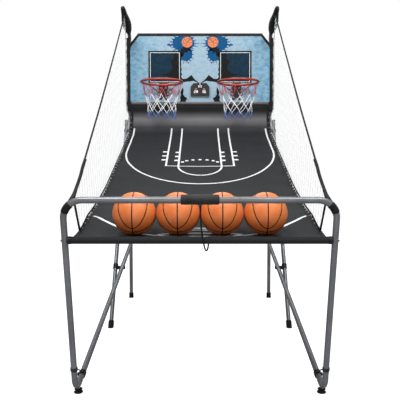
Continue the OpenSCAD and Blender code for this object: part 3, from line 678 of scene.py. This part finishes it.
def make_nets():
    bands = [(0.0, "#4066a8"), (0.17, "#4a6fb0"), (0.22, "#eef0f4"), (0.62, "#f1eef0"),
             (0.68, "#b33245"), (1.0, "#bf2f36")]
    net_cord = dyed_cord("dyed_net_cord", bands, 1.306, 1.548)
    for side, name in SIDES:
        dice = random.Random(20 + side)
        knots = [[net_point(side, row, column, dice) for column in range(NET_COLUMNS)]
                 for row in range(len(NET_ROWS))]
        shapes = []
        for row in range(len(NET_ROWS) - 1):
            for column in range(NET_COLUMNS):
                top = knots[row][column]
                step = 0 if row % 2 == 0 else 1
                for below in (column + step - 1, column + step):
                    foot = knots[row + 1][below % NET_COLUMNS]
                    middle = (top + foot) / 2
                    middle += (middle - Vector((side * HOOP_X, HOOP_Y, middle.z))) * 0.03
                    middle.z -= 0.004 if row == 0 else 0.001
                    shapes.append(tube([top, (top + middle) / 2, middle, (middle + foot) / 2,
                                        foot], NET_CORD, 6))
        for row in range(1, len(NET_ROWS)):
            for place in knots[row]:
                fat = [(-0.0042, 0.0), (-0.0034, 0.0030), (0.0, 0.0043), (0.0034, 0.0030),
                       (0.0042, 0.0)]
                shapes.append(turned(place, (0, 0, 1), fat, 8))
        make_piece(f"hoop_net_cord_{name}", shapes, net_cord, "root", [f"hoop_net_{name}"])
        hooks = []
        for column in range(NET_COLUMNS):
            angle = math.radians(-90 + 23 + 360 / NET_COLUMNS * column)
            out = Vector((math.cos(angle), math.sin(angle), 0))
            centre = Vector((side * HOOP_X, HOOP_Y, HOOP_Z))
            path = [centre + out * r + Vector((0, 0, z)) for r, z in
                    ((0.1440, -0.0070), (0.1435, -0.0135), (0.1400, -0.0190), (0.1350, -0.0205),
                     (0.1310, -0.0175), (0.1305, -0.0125))]
            hooks.append(tube(path, 0.0014, 6))
        make_piece(f"net_hooks_{name}", hooks, hoop_paint, "root", ())


make_nets()

# ------------------------------------------------------------- Court cloth
# One piece of coated polyester. It is sewn in a pocket round the front bar,
# sags under the balls, and runs up the slope to the tube under the board.
COURT_HALF = 0.4995
FLARE, CORNER_FLARE, FLARE_RUN = 1.014, 0.014, 0.32


def bent(start, corner, end, steps):
    """Points on a curve that leaves start toward corner and meets end from it."""
    start, corner, end = Vector(start), Vector(corner), Vector(end)
    return [(1 - t) ** 2 * start + 2 * t * (1 - t) * corner + t * t * end
            for t in (i / steps for i in range(steps + 1))]


def court_line():
    """The cloth's line seen from the side, in metres, from the pocket to its top."""
    bar, tube_at = Vector((-0.9605, 0.680)), Vector((0.985, 1.4295))
    points = []
    for i in range(21):
        angle = math.radians(-62 - 276 * i / 20)
        points.append(bar + 0.0139 * Vector((math.cos(angle), math.sin(angle))))
    points += bent((-0.9440, 0.6838), (-0.840, 0.655), (-0.625, 0.739), 16)
    points += bent((-0.6238, 0.7392), (-0.330, 0.788), (-0.100, 0.862), 14)[1:]
    points += [Vector((-0.1 + 0.9 * i / 30, 0.862 + 0.314 * i / 30)) for i in range(1, 30)]
    points += bent((0.800, 1.176), (0.965, 1.233), (0.965, 1.330), 16)
    points += [Vector((0.965, 1.330 + 0.012 * i)) for i in range(1, 6)]
    points += bent((0.965, 1.400), (0.9655, 1.4130), (0.9765, 1.4190), 5)
    for i in range(9):
        angle = math.radians(236 + 116 * i / 8)
        points.append(tube_at + 0.0124 * Vector((math.cos(angle), math.sin(angle))))
    return points


COURT_LINE = court_line()
COURT_RUN = [0.0]
for before, after in zip(COURT_LINE, COURT_LINE[1:]):
    COURT_RUN.append(COURT_RUN[-1] + (after - before).length)
COURT_LENGTH = COURT_RUN[-1]
TROUGH_RUN = COURT_RUN[21]
HEM_RUN = max(run for run, place in zip(COURT_RUN, COURT_LINE)
              if place.x < 0.9655 and place.y < 1.386)


def clamp(value):
    return min(1, max(0, value))


def court_point(across, run, lift=0.0):
    """A point of the cloth: across from its middle, run from its front end."""
    i = min(max(bisect.bisect_right(COURT_RUN, run) - 1, 0), len(COURT_LINE) - 2)
    share = (run - COURT_RUN[i]) / (COURT_RUN[i + 1] - COURT_RUN[i])
    place = COURT_LINE[i].lerp(COURT_LINE[i + 1], share)
    ways = []
    for k in (i, i + 1):
        ways.append((COURT_LINE[min(k + 1, len(COURT_LINE) - 1)]
                     - COURT_LINE[max(k - 1, 0)]).normalized())
    way = ways[0].lerp(ways[1], share).normalized()
    # Taut cloth: shallow folds fan out from its corners and fade to the middle.
    edge = (abs(across) / COURT_HALF) ** 3
    slack = clamp((run - TROUGH_RUN) / 0.1) * clamp((HEM_RUN - run) / 0.15)
    ripple = 0.0009 * math.sin(9.0 * run + 2.2 * across + 0.6) * math.sin(5.0 * across + 0.8)
    ripple += edge * 0.0014 * math.sin(34 * run + 9 * across)
    lift += ripple * slack
    # Its front corners are drawn out to the caps of the bar.
    into = run - TROUGH_RUN
    flare = 1 + (FLARE - 1) * clamp((FLARE_RUN - into) / 0.16)
    flare += CORNER_FLARE * clamp((FLARE_RUN - into) / 0.20) * clamp(into / 0.05)
    return Vector((across * flare, place.x - way.y * lift, place.y + way.x * lift))


def court_cloth(name, front, knee, ramp, hem):
    """PU-coated polyester oxford: a matt plain weave, charcoal, with painted light as a lighter
    grey band up the court's ramp.
    """
    made, tree, skin = material(name)
    run = add(tree, "Attribute", {}, attribute_name="run").outputs["Fac"]
    at = [(HEM_RUN - back) / COURT_LENGTH for back in (0.215, 0.125, 0.060, 0.020, 0.004)]
    # Charcoal cloth and a black hem, with painted light between them: the lighter grey band up
    # the ramp stands for light on the curved slope.
    ramp_light_and_cloth_tone = tinted(tree, maths(tree, "DIVIDE", run, COURT_LENGTH), (0.0, front),
                        (at[0], front), (at[1], knee), (at[2], ramp), (at[3], knee),
                        (at[4], hem))
    wear = tinted(tree, noise(tree, 5, 5), (0.3, "#e4e4e6"), (0.7, "#ffffff"))
    # Yarns lie 0.5 mm apart and are drawn at 3 mm so that the weave shows.
    weave = maths(tree, "MULTIPLY", wave(tree, 105, way="X"), wave(tree, 105, way="Y"))
    tone = mixed(tree, 1.0, ramp_light_and_cloth_tone, wear, "MULTIPLY")
    cloth = mixed(tree, 1.0, tone, spread(tree, weave, 0.9, 1.06), "MULTIPLY")
    surface(tree, skin, cloth, 0.78, weave, 0.25, 0.0005)
    skin.inputs["Specular IOR Level"].default_value = 0.25
    skin.inputs["Sheen Weight"].default_value = 0.03
    return made


def webbing(name, dark, light):
    """Woven polypropylene tape: black, with a rib across it every 2 mm."""
    made, tree, skin = material(name)
    tint = tinted(tree, noise(tree, 30), (0.3, dark), (0.7, light))
    # The rib is 2 mm apart and is drawn at 4 mm so that it shows.
    surface(tree, skin, tint, 0.7, wave(tree, 80, 0.6), 0.35, 0.0005)
    skin.inputs["Specular IOR Level"].default_value = 0.25
    return made


def heading(points, i):
    """The way a line of points runs at one of them."""
    return (points[min(i + 1, len(points) - 1)] - points[max(i - 1, 0)]).normalized()


def tape(points, across, width, thick):
    """A flat band along points; across holds the way its width lies at each."""
    corners = ((-1, -1), (1, -1), (1, 1), (-1, 1))
    rings = []
    for i, place in enumerate(points):
        way = heading(points, i)
        side = (across[i] - way * across[i].dot(way)).normalized()
        up = way.cross(side)
        rings += [place + side * (a * width / 2) + up * (b * thick / 2) for a, b in corners]
    faces = grid_faces(len(points), 4, loop_columns=True)
    last = 4 * (len(points) - 1)
    faces += [(3, 2, 1, 0), (last, last + 1, last + 2, last + 3)]
    return rings, faces


def painted_line(points, width, lift, close=False):
    """A printed line on the cloth, through (across, run) points, as a thin band."""
    path = []
    for start, end in zip(points, points[1:]):
        start, end = Vector(start), Vector(end)
        steps = max(1, round((end - start).length / 0.012))
        path += [start.lerp(end, i / steps) for i in range(steps)]
    path.append(Vector(points[-1]))
    rows = []
    for i, place in enumerate(path):
        at_join = close and i in (0, len(path) - 1)
        way = (path[1] - path[-2]).normalized() if at_join else heading(path, i)
        for share in (-0.5, 0.5):
            spot = place + Vector((-way.y, way.x)) * width * share
            rows.append(court_point(spot.x, spot.y, lift))
            rows.append(court_point(spot.x, spot.y, 0.0))
    count = len(path)
    faces = []
    for i in range(count - 1):
        a, b = 4 * i, 4 * i + 4
        faces += [(a, a + 2, b + 2, b), (a + 1, a, b, b + 1), (a + 2, a + 3, b + 3, b + 2)]
    faces += [(0, 1, 3, 2), (4 * count - 2, 4 * count - 1, 4 * count - 3, 4 * count - 4)]
    return rows, faces


def make_court():
    columns = 49
    rows = []
    runs = []
    for low, high in zip(COURT_RUN, COURT_RUN[1:]):
        parts = max(1, round((high - low) / 0.02))
        runs += [low + (high - low) * k / parts for k in range(parts)]
    runs.append(COURT_LENGTH)
    for run in runs:
        rows += [court_point(COURT_HALF * (2 * c / (columns - 1) - 1), run)
                 for c in range(columns)]
    # The grey ramp colour is painted light on the curved slope; the court and hem colours are the
    # cloth's own.
    cloth = make_piece("court_sheet", [], court_cloth("coated_oxford", "#1c1d20", "#39393b",
                                                      "#737374", "#0e0e0f"))
    cloth.data.clear_geometry()
    cloth.data.from_pydata(rows, [], grid_faces(len(runs), columns))
    cloth.data.shade_smooth()
    mark = cloth.data.attributes.new("run", "FLOAT", "POINT")
    for r, run in enumerate(runs):
        for c in range(columns):
            mark.data[r * columns + c].value = run
    body = cloth.modifiers.new("thickness", "SOLIDIFY")
    body.thickness = 0.0012
    body.offset = 0
    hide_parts("court_main", "court_front")
    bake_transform(cloth)
    white, grey = [], []

    def paint(shapes, points, side=1, width=0.0105, lift=0.0011, close=False):
        shapes.append(painted_line([(side * x, TROUGH_RUN + run) for x, run in points],
                                   width, lift, close))

    paint(white, [(-0.471, 1.966), (-0.470, 1.72)] + oval(0, 1.495, 0.470, 0.592, -180, 0, 48)
          + [(0.470, 1.72), (0.471, 1.966)])
    for side in (-1, 1):
        paint(white, [(0.2035, 1.966), (0.2030, 1.206)], side)
        paint(white, [(0.1285, 1.966), (0.1285, 1.200)], side)
        for run in (1.318, 1.397, 1.480):
            paint(white, [(0.208, run), (0.236, run)], side, 0.021)
            paint(white, [(0.133, run - 0.012), (0.156, run - 0.012)], side, 0.025)
    paint(white, oval(0, 1.200, 0.1285, 0.158, -180, 0, 30), lift=0.0012)
    paint(grey, [(-0.2095, 1.206), (-0.1, 1.199), (0, 1.196), (0.1, 1.199), (0.2095, 1.206)],
          lift=0.0010)
    for i in range(7):
        x, run = Vector(oval(0, 1.245, 0.116, 0.075, 24 + 22 * i, 29 + 22 * i, 1)[0])
        paint(white, [(x - 0.009, run), (x + 0.009, run)], width=0.020)
    # The other half of the court lies in the trough, under the balls.
    for side in (-1, 1):
        paint(white, [(0.479, 0.354), (0.425, 0.300), (0.360, 0.240), (0.300, 0.190),
                      (0.232, 0.142), (0.172, 0.118)], side)
    paint(white, oval(0, 0.128, 0.168, 0.024, 0, 360, 60), 1, 0.012, 0.0012, True)
    paint(grey, oval(0, 0.150, 0.110, 0.062, 20, 160, 30), 1, 0.011, 0.0010)
    paint(grey, oval(0, 0.150, 0.100, 0.042, 20, 160, 30), 1, 0.009, 0.0010)
    for name, shapes, made in (
            ("court_print_white", white, ink("white_court_ink", "#c9cbcc", "#dcdddd", 70)),
            ("court_print_grey", grey, ink("grey_court_ink", "#aeb0b2", "#c2c4c6", 70))):
        print_piece = make_piece(name, shapes, made, None, ())
        print_piece.data.shade_flat()
        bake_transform(print_piece)
    # A folded tape binds each side edge, from the trough to the ramp's top.
    bindings = []
    edge_runs = [r for r in runs if TROUGH_RUN + 0.004 <= r <= HEM_RUN + 0.01]
    for side in (-1, 1):
        path = [court_point(side * (COURT_HALF - 0.0075), r) for r in edge_runs]
        bindings.append(tape(path, [Vector((1, 0, 0))] * len(path), 0.019, 0.0036))
    binding = make_piece("court_binding", bindings, webbing("black_webbing", "#0c0c0d",
                                                            "#1a1a1c"), None, ())
    binding.data.shade_flat()
    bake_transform(binding)


make_court()

# --------------------------------------------------------------- Side nets
# Each side is closed by a knotted net of thin white nylon twine, 50 mm
# square. Black tape is sewn round it, and twine loops lace it to the court.
NET_X = 0.5025
NET_MESH = 0.050
TWINE = 0.0006
POST_CLEARANCE = 0.031


def side_edge():
    """The net's outline seen from the side, from its front corner and round."""
    low = []
    for run in [TROUGH_RUN + 0.170 + 0.045 * i for i in range(41)]:
        place = court_point(0, run, 0.006)
        low.append(Vector((min(place.y, 0.9615), place.z)))
    low = [p for p in low if p.y < 1.330]
    return [Vector((-0.875, 0.832))] + low + [Vector((0.9615, 1.340)), Vector((0.9615, 1.852)),
                                              Vector((0.695, 1.984))]


def crossings(outline, start, way):
    """How far along a line it crosses an outline, in order."""
    found = []
    for a, b in zip(outline, outline[1:] + outline[:1]):
        edge = b - a
        depth = way.x * edge.y - way.y * edge.x
        if abs(depth) < 1e-9:
            continue
        gap = a - start
        along = (gap.x * edge.y - gap.y * edge.x) / depth
        share = (gap.x * way.y - gap.y * way.x) / depth
        if 0 <= share < 1:
            found.append(along)
    return sorted(found)


def net_place(side, y, z):
    """A point on the hanging net, which spreads to the outside of the post."""
    billow = 0.003 * math.sin(2.4 * y + 0.5) * math.sin(3.3 * z + 1.0)
    sag = 0.004 * math.sin(5.0 * y) * math.sin(4.0 * z)
    back = clamp((y - 0.70) / 0.2645)
    up = clamp((z - 1.32) / 0.08)
    out = POST_CLEARANCE * back * up * up * (3 - 2 * up)
    return Vector((side * (NET_X + 0.001 + billow * (1 - back) + out), y, z - sag))


def nylon_twine():
    """Twisted nylon twine: soft white, a little translucent at its edges."""
    made, tree, skin = material("nylon_twine")
    # The twist repeats every 3 mm and is drawn at 6 mm so that it shows.
    twist = tinted(tree, wave(tree, 52), (0.0, "#d6dadd"), (1.0, "#f2f4f5"))
    surface(tree, skin, twist, 0.55)
    skin.inputs["Sheen Weight"].default_value = 0.2
    return made


def make_side_nets():
    outline = side_edge()
    twine = nylon_twine()
    black_tape = webbing("black_hem_tape", "#0b0b0c", "#181819")
    knot = [(-0.0026, 0.0), (0.0, 0.0026), (0.0026, 0.0)]
    for side, name in SIDES:
        shapes = []
        ways = [Vector((math.cos(math.radians(a)), math.sin(math.radians(a)))) for a in (17, 107)]
        middle = Vector((0.1, 1.3))
        for way, other in (ways, ways[::-1]):
            for i in range(-28, 29):
                start = middle + other * (i * NET_MESH)
                found = crossings(outline, start, way)
                for low, high in zip(found[::2], found[1::2]):
                    steps = max(2, round((high - low) / 0.06))
                    path = []
                    for k in range(steps + 1):
                        spot = start + way * (low + (high - low) * k / steps)
                        path.append(net_place(side, spot.x, spot.y))
                    shapes.append(tube(path, TWINE, 5))
        for i in range(-28, 29):
            for k in range(-28, 29):
                spot = middle + ways[0] * (i * NET_MESH) + ways[1] * (k * NET_MESH)
                inside = crossings(outline, spot, ways[0])
                if sum(1 for c in inside if c > 0) % 2:
                    shapes.append(turned(net_place(side, spot.x, spot.y), (1, 0, 0), knot, 5))
        # Twine loops 45 mm apart lace the net round the court's bound edge.
        loops = []
        run = TROUGH_RUN + 0.17
        while run < HEM_RUN - 0.05:
            centre = court_point(side * (COURT_HALF - 0.001), run)
            ring = [centre + Vector((side * 0.0070 * math.cos(a), 0.0030 * math.cos(2 * a),
                                     0.0050 * math.sin(a) + 0.001))
                    for a in (2 * math.pi * k / 10 for k in range(10))]
            loops.append(tube(ring, 0.0008, 5, loop=True))
            run += 0.045
        net = make_piece(f"side_net_twine_{name}", shapes, twine, None,
                         [f"side_net_{name}"])
        lacing = make_piece(f"net_lacing_{name}", loops, twine, None, ())
        hem_line = [outline[-1], outline[0], outline[1]]
        hem_path = []
        for a, b in zip(hem_line, hem_line[1:]):
            steps = max(2, round((b - a).length / 0.05))
            for k in range(steps + (b is hem_line[-1])):
                spot = a.lerp(b, k / steps)
                hem_path.append(net_place(side, spot.x, spot.y))
        post_path = []
        for a, b in zip(outline[-3:], outline[-2:]):
            post_path += [net_place(side, *a.lerp(b, k / 10)) for k in range(10)]
        post_path.append(net_place(side, *outline[-1]))
        low_path = [Vector((side * NET_X, p.x, p.y + 0.003)) for p in outline[1:-2]]
        low_ways = [heading(low_path, i) for i in range(len(low_path))]
        low_across = [Vector((0, -way.z, way.y)) for way in low_ways]
        hem = make_piece(f"net_hem_{name}", [tube(hem_path, 0.0045, 8),
                                             tube(post_path, 0.0034, 8),
                                             tape(low_path, low_across, 0.010, 0.0024)],
                         black_tape, None, ())
        hem.data.shade_flat()
        for soft in (net, lacing, hem):
            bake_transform(soft)


make_side_nets()

# ------------------------------------------------------- Net straps, sleeves
# A hook-and-loop strap wraps each corner of the crossbar and pulls the net's
# hem tight. Cloth sleeves close round the rear posts and the board's edges.
LEG_TOP = Vector((0.523, -0.994, 0.837))
LEG_CORNER = Vector((0.520, -0.821, 0.0252))
CORNER_BEND = 0.075


def corner_arc(start, end, steps):
    """The crossbar's bend, from one share of it to another."""
    inward = Vector((-1, 0, 0))
    down = (LEG_CORNER - LEG_TOP).normalized()
    half = inward.angle(down) / 2
    centre = LEG_TOP + (inward + down).normalized() * (CORNER_BEND / math.sin(half))
    first = LEG_TOP + inward * (CORNER_BEND / math.tan(half))
    last = LEG_TOP + down * (CORNER_BEND / math.tan(half))
    a, b = first - centre, last - centre
    sweep = a.angle(b)
    points = []
    for i in range(steps + 1):
        share = start + (end - start) * i / steps
        points.append(centre + (a * math.sin((1 - share) * sweep)
                                + b * math.sin(share * sweep)) / math.sin(sweep))
    return points


def make_straps():
    black_strap = webbing("hook_and_loop_strap", "#0a0a0b", "#171718")
    strap_line = [Vector((-0.964, 0.818)), Vector((-0.870, 0.850)), Vector((-0.785, 0.892)),
                  Vector((-0.640, 0.994))]
    for side, name in SIDES:
        arc_points = corner_arc(0.42, 0.78, 14)
        flip = Vector((side, 1, 1))
        path = [p * flip for p in arc_points]
        radii = [0.0150 if 0 < i < 14 else 0.0134 for i in range(15)]
        wrap = make_piece(f"strap_wrap_{name}", [tube(path, radii, 28)], black_strap,
                          "front_frame", ["net_straps"])
        points, across = [], []
        for a, b in zip(strap_line, strap_line[1:]):
            steps = 4 if b is not strap_line[-1] else 9
            for k in range(steps):
                points.append(a.lerp(b, k / steps))
        points.append(strap_line[-1])
        rows = []
        for i, p in enumerate(points):
            way = heading(points, i)
            down = Vector((-way.y, way.x)) * 0.004
            rows.append(Vector((side * (0.5062 + 0.0006 * math.sin(i)), p.x + down.x,
                                p.y + down.y)))
            across.append(Vector((1, 0, 0)))
        strap = make_piece(f"net_strap_{name}", [tape(rows, across, 0.0140, 0.0024)],
                           black_strap, None, ())
        strap.data.shade_flat()
        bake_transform(strap)


make_straps()


def make_sleeves():
    sleeve_cloth = court_cloth("sleeve_oxford", "#131314", "#131314", "#131314", "#131314")
    low, high = 1.370, 1.898
    section = [(0.5035, 0.9646), (0.509, 0.9642), (0.516, 0.9641), (0.5225, 0.9642)]
    section += [(0.5225 + 0.0075 * math.sin(a), 0.9717 - 0.0075 * math.cos(a))
                for a in (math.radians(18 * k) for k in range(1, 6))]
    section += [(0.5304, 0.9790), (0.5305, 0.9870), (0.5304, 0.9950), (0.5300, 1.0020)]
    section += [(0.5225 + 0.0075 * math.cos(a), 1.0020 + 0.0075 * math.sin(a))
                for a in (math.radians(18 * k) for k in range(1, 6))]
    section += [(0.5160, 1.0096), (0.509, 1.0096), (0.5035, 1.0094)]
    rows = 54
    for side, name in SIDES:
        dice = random.Random(40 + side)
        phases = [dice.uniform(0, 6.28) for _ in range(4)]
        points = []
        for r in range(rows):
            share = r / (rows - 1)
            z = low + (high - low) * share
            for k, (x, y) in enumerate(section):
                turn = k / (len(section) - 1)
                fold = 0.0011 * math.sin(38 * share + 5 * turn + phases[0])
                fold += 0.0009 * math.sin(71 * share - 7 * turn + phases[1])
                fold += 0.0006 * math.sin(17 * share + 12 * turn + phases[2])
                fold *= math.sin(math.pi * clamp(turn)) ** 0.5
                out = Vector((x - 0.512, y - 0.987)).normalized()
                hem = 0.0005 if share < 0.03 or share > 0.97 else 0.0
                points.append(Vector((side * (x + out.x * (fold - 0.001 + hem)),
                                      y + out.y * (fold - 0.0005 + hem),
                                      z + 0.0006 * math.sin(9 * turn + phases[3]))))
        sleeve = make_piece(f"post_sleeve_{name}", [(points, grid_faces(rows, len(section)))],
                            sleeve_cloth, "root", ["post_sleeves"])
        body = sleeve.modifiers.new("thickness", "SOLIDIFY")
        body.thickness = 0.001
        body.offset = 0


make_sleeves()

# ------------------------------------------------------------- Basketballs
# Four rubber balls lie in the trough. Their skin is moulded in eight panels
# with a pebbled grain, and the channels between the panels are black rubber.
BALL_RADIUS = 0.0890
BALL_TILT = math.radians(38)
CHANNEL_DEPTH, CHANNEL_REACH = 0.0014, 0.0054


def ball_seams():
    """The channels' lines as unit vectors: two circles and two long ovals."""
    pole = Vector((0, -math.cos(BALL_TILT), math.sin(BALL_TILT)))
    long_way = Vector((0, -math.sin(BALL_TILT), -math.cos(BALL_TILT)))
    wide_way = Vector((1, 0, 0))
    turns = [2 * math.pi * i / 120 for i in range(120)]
    lines = [[pole * math.cos(t) + long_way * math.sin(t) for t in turns],
             [wide_way * math.cos(t) + long_way * math.sin(t) for t in turns]]
    for end in (1, -1):
        line = []
        for t in turns:
            reach = 1 / math.hypot(math.cos(t) / math.radians(75),
                                   math.sin(t) / math.radians(41))
            spoke = long_way * math.cos(t) + wide_way * math.sin(t)
            line.append(pole * (end * math.cos(reach)) + spoke * math.sin(reach))
        lines.append(line)
    return lines


def ball_skin():
    """Moulded rubber: orange and pebbled, with painted shade in the grooves between the pebbles.
    """
    made, tree, skin = material("pebbled_rubber")
    # The pebbles are 1.5 mm across and are drawn at 3 mm so that they show.
    pebble = cells(tree, 330)
    tint = tinted(tree, noise(tree, 11, 5), (0.3, "#cd6628"), (0.7, "#e07f42"))
    # Painted shade darkens the grooves between the pebbles, and a faint painted highlight
    # lightens their tops.
    pebble_shade = spread(tree, pebble, 1.06, 0.86, 0.0, 0.6)
    surface(tree, skin, mixed(tree, 1.0, tint, pebble_shade, "MULTIPLY"), 0.48, pebble, 0.35, 0.0006,
            invert=True)
    return made


def make_balls():
    lines = ball_seams()
    work = bmesh.new()
    bmesh.ops.create_icosphere(work, subdivisions=5, radius=1.0)
    seam_points = [p for line in lines for p in line]
    lookup = kdtree.KDTree(len(seam_points))
    for i, p in enumerate(seam_points):
        lookup.insert(p, i)
    lookup.balance()
    for vertex in work.verts:
        way = vertex.co.normalized()
        gap = lookup.find(way)[2] * BALL_RADIUS
        depth = CHANNEL_DEPTH * max(0.0, 1 - (gap / CHANNEL_REACH) ** 2)
        vertex.co = way * (BALL_RADIUS - 0.0002 - depth)
    skin_mesh = bpy.data.meshes.new("ball_skin")
    work.to_mesh(skin_mesh)
    work.free()
    skin_mesh.shade_smooth()
    skin_mesh.materials.append(ball_skin())
    channels = [tube([p * (BALL_RADIUS - 0.0029) for p in line], 0.0030, 8, loop=True)
                for line in lines]
    valve_at = Vector((0.12, math.sin(BALL_TILT) * -0.9, -0.62)).normalized()
    channels.append(turned(valve_at * (BALL_RADIUS - 0.0035), valve_at,
                           [(0, 0), (0, 0.0032), (0.0032, 0.0032), (0.0036, 0.0022),
                            (0.0030, 0.0)], 14))
    seam_rubber = moulded("black_seam_rubber", "#120906", "#1e100a", 0.5, 2.0, 0.1)
    for i in range(1, 5):
        name = f"basketball_{i}"
        low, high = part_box(name)
        centre = (Vector(low) + Vector(high)) / 2
        ball = bpy.data.objects.new(f"ball_{i}", skin_mesh)
        ball.location = centre
        scene.collection.objects.link(ball)
        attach(ball, name)
        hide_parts(name)
        shapes = [([p + centre for p in points], faces) for points, faces in channels]
        make_piece(f"ball_channels_{i}", shapes, seam_rubber, name, ())


make_balls()

# ----------------------------------------------------- Floor and lighting
# A plain pale floor and large soft lamps.


def make_stage():
    mesh = bpy.data.meshes.new("floor")
    mesh.from_pydata([(-8, -8, 0), (8, -8, 0), (8, 8, 0), (-8, 8, 0)], [], [(0, 1, 2, 3)])
    floor = bpy.data.objects.new("floor", mesh)
    made, tree, skin = material("pale_floor")
    skin.inputs["Base Color"].default_value = linear("#a8a8a8")
    skin.inputs["Roughness"].default_value = 0.8
    skin.inputs["Emission Color"].default_value = linear("#ffffff")
    seen = add(tree, "LightPath").outputs["Is Camera Ray"]
    tree.links.new(spread(tree, seen, 0.0, 0.95), skin.inputs["Emission Strength"])
    mesh.materials.append(made)
    scene.collection.objects.link(floor)
    world = bpy.data.worlds.new("studio")
    world.use_nodes = True
    tree = world.node_tree
    # The backdrop is seen white, and lights the object at 0.36 of that strength.
    level = spread(tree, add(tree, "LightPath").outputs["Is Camera Ray"], 0.36, 1.0)
    back = tree.nodes["Background"]
    back.inputs["Color"].default_value = linear("#ffffff")
    tree.links.new(level, back.inputs["Strength"])
    scene.world = world
    scene.view_settings.view_transform = "Standard"
    lamps = [
        ("key", (-1.3, -2.0, 4.6), 180, 1.6),
        ("fill", (1.6, -2.2, 4.2), 130, 1.6),
        ("front", (0, -4.2, 1.0), 22, 2.0),
        ("back", (0, 2.8, 3.6), 60, 2.0),
    ]
    for name, place, power, size in lamps:
        data = bpy.data.lights.new(name, "AREA")
        data.energy = power
        data.size = size
        lamp = bpy.data.objects.new(name, data)
        lamp.location = place
        aim = Vector((0, 0.2, 1.0)) - Vector(place)
        lamp.rotation_euler = aim.to_track_quat("-Z", "Y").to_euler()
        scene.collection.objects.link(lamp)


make_stage()
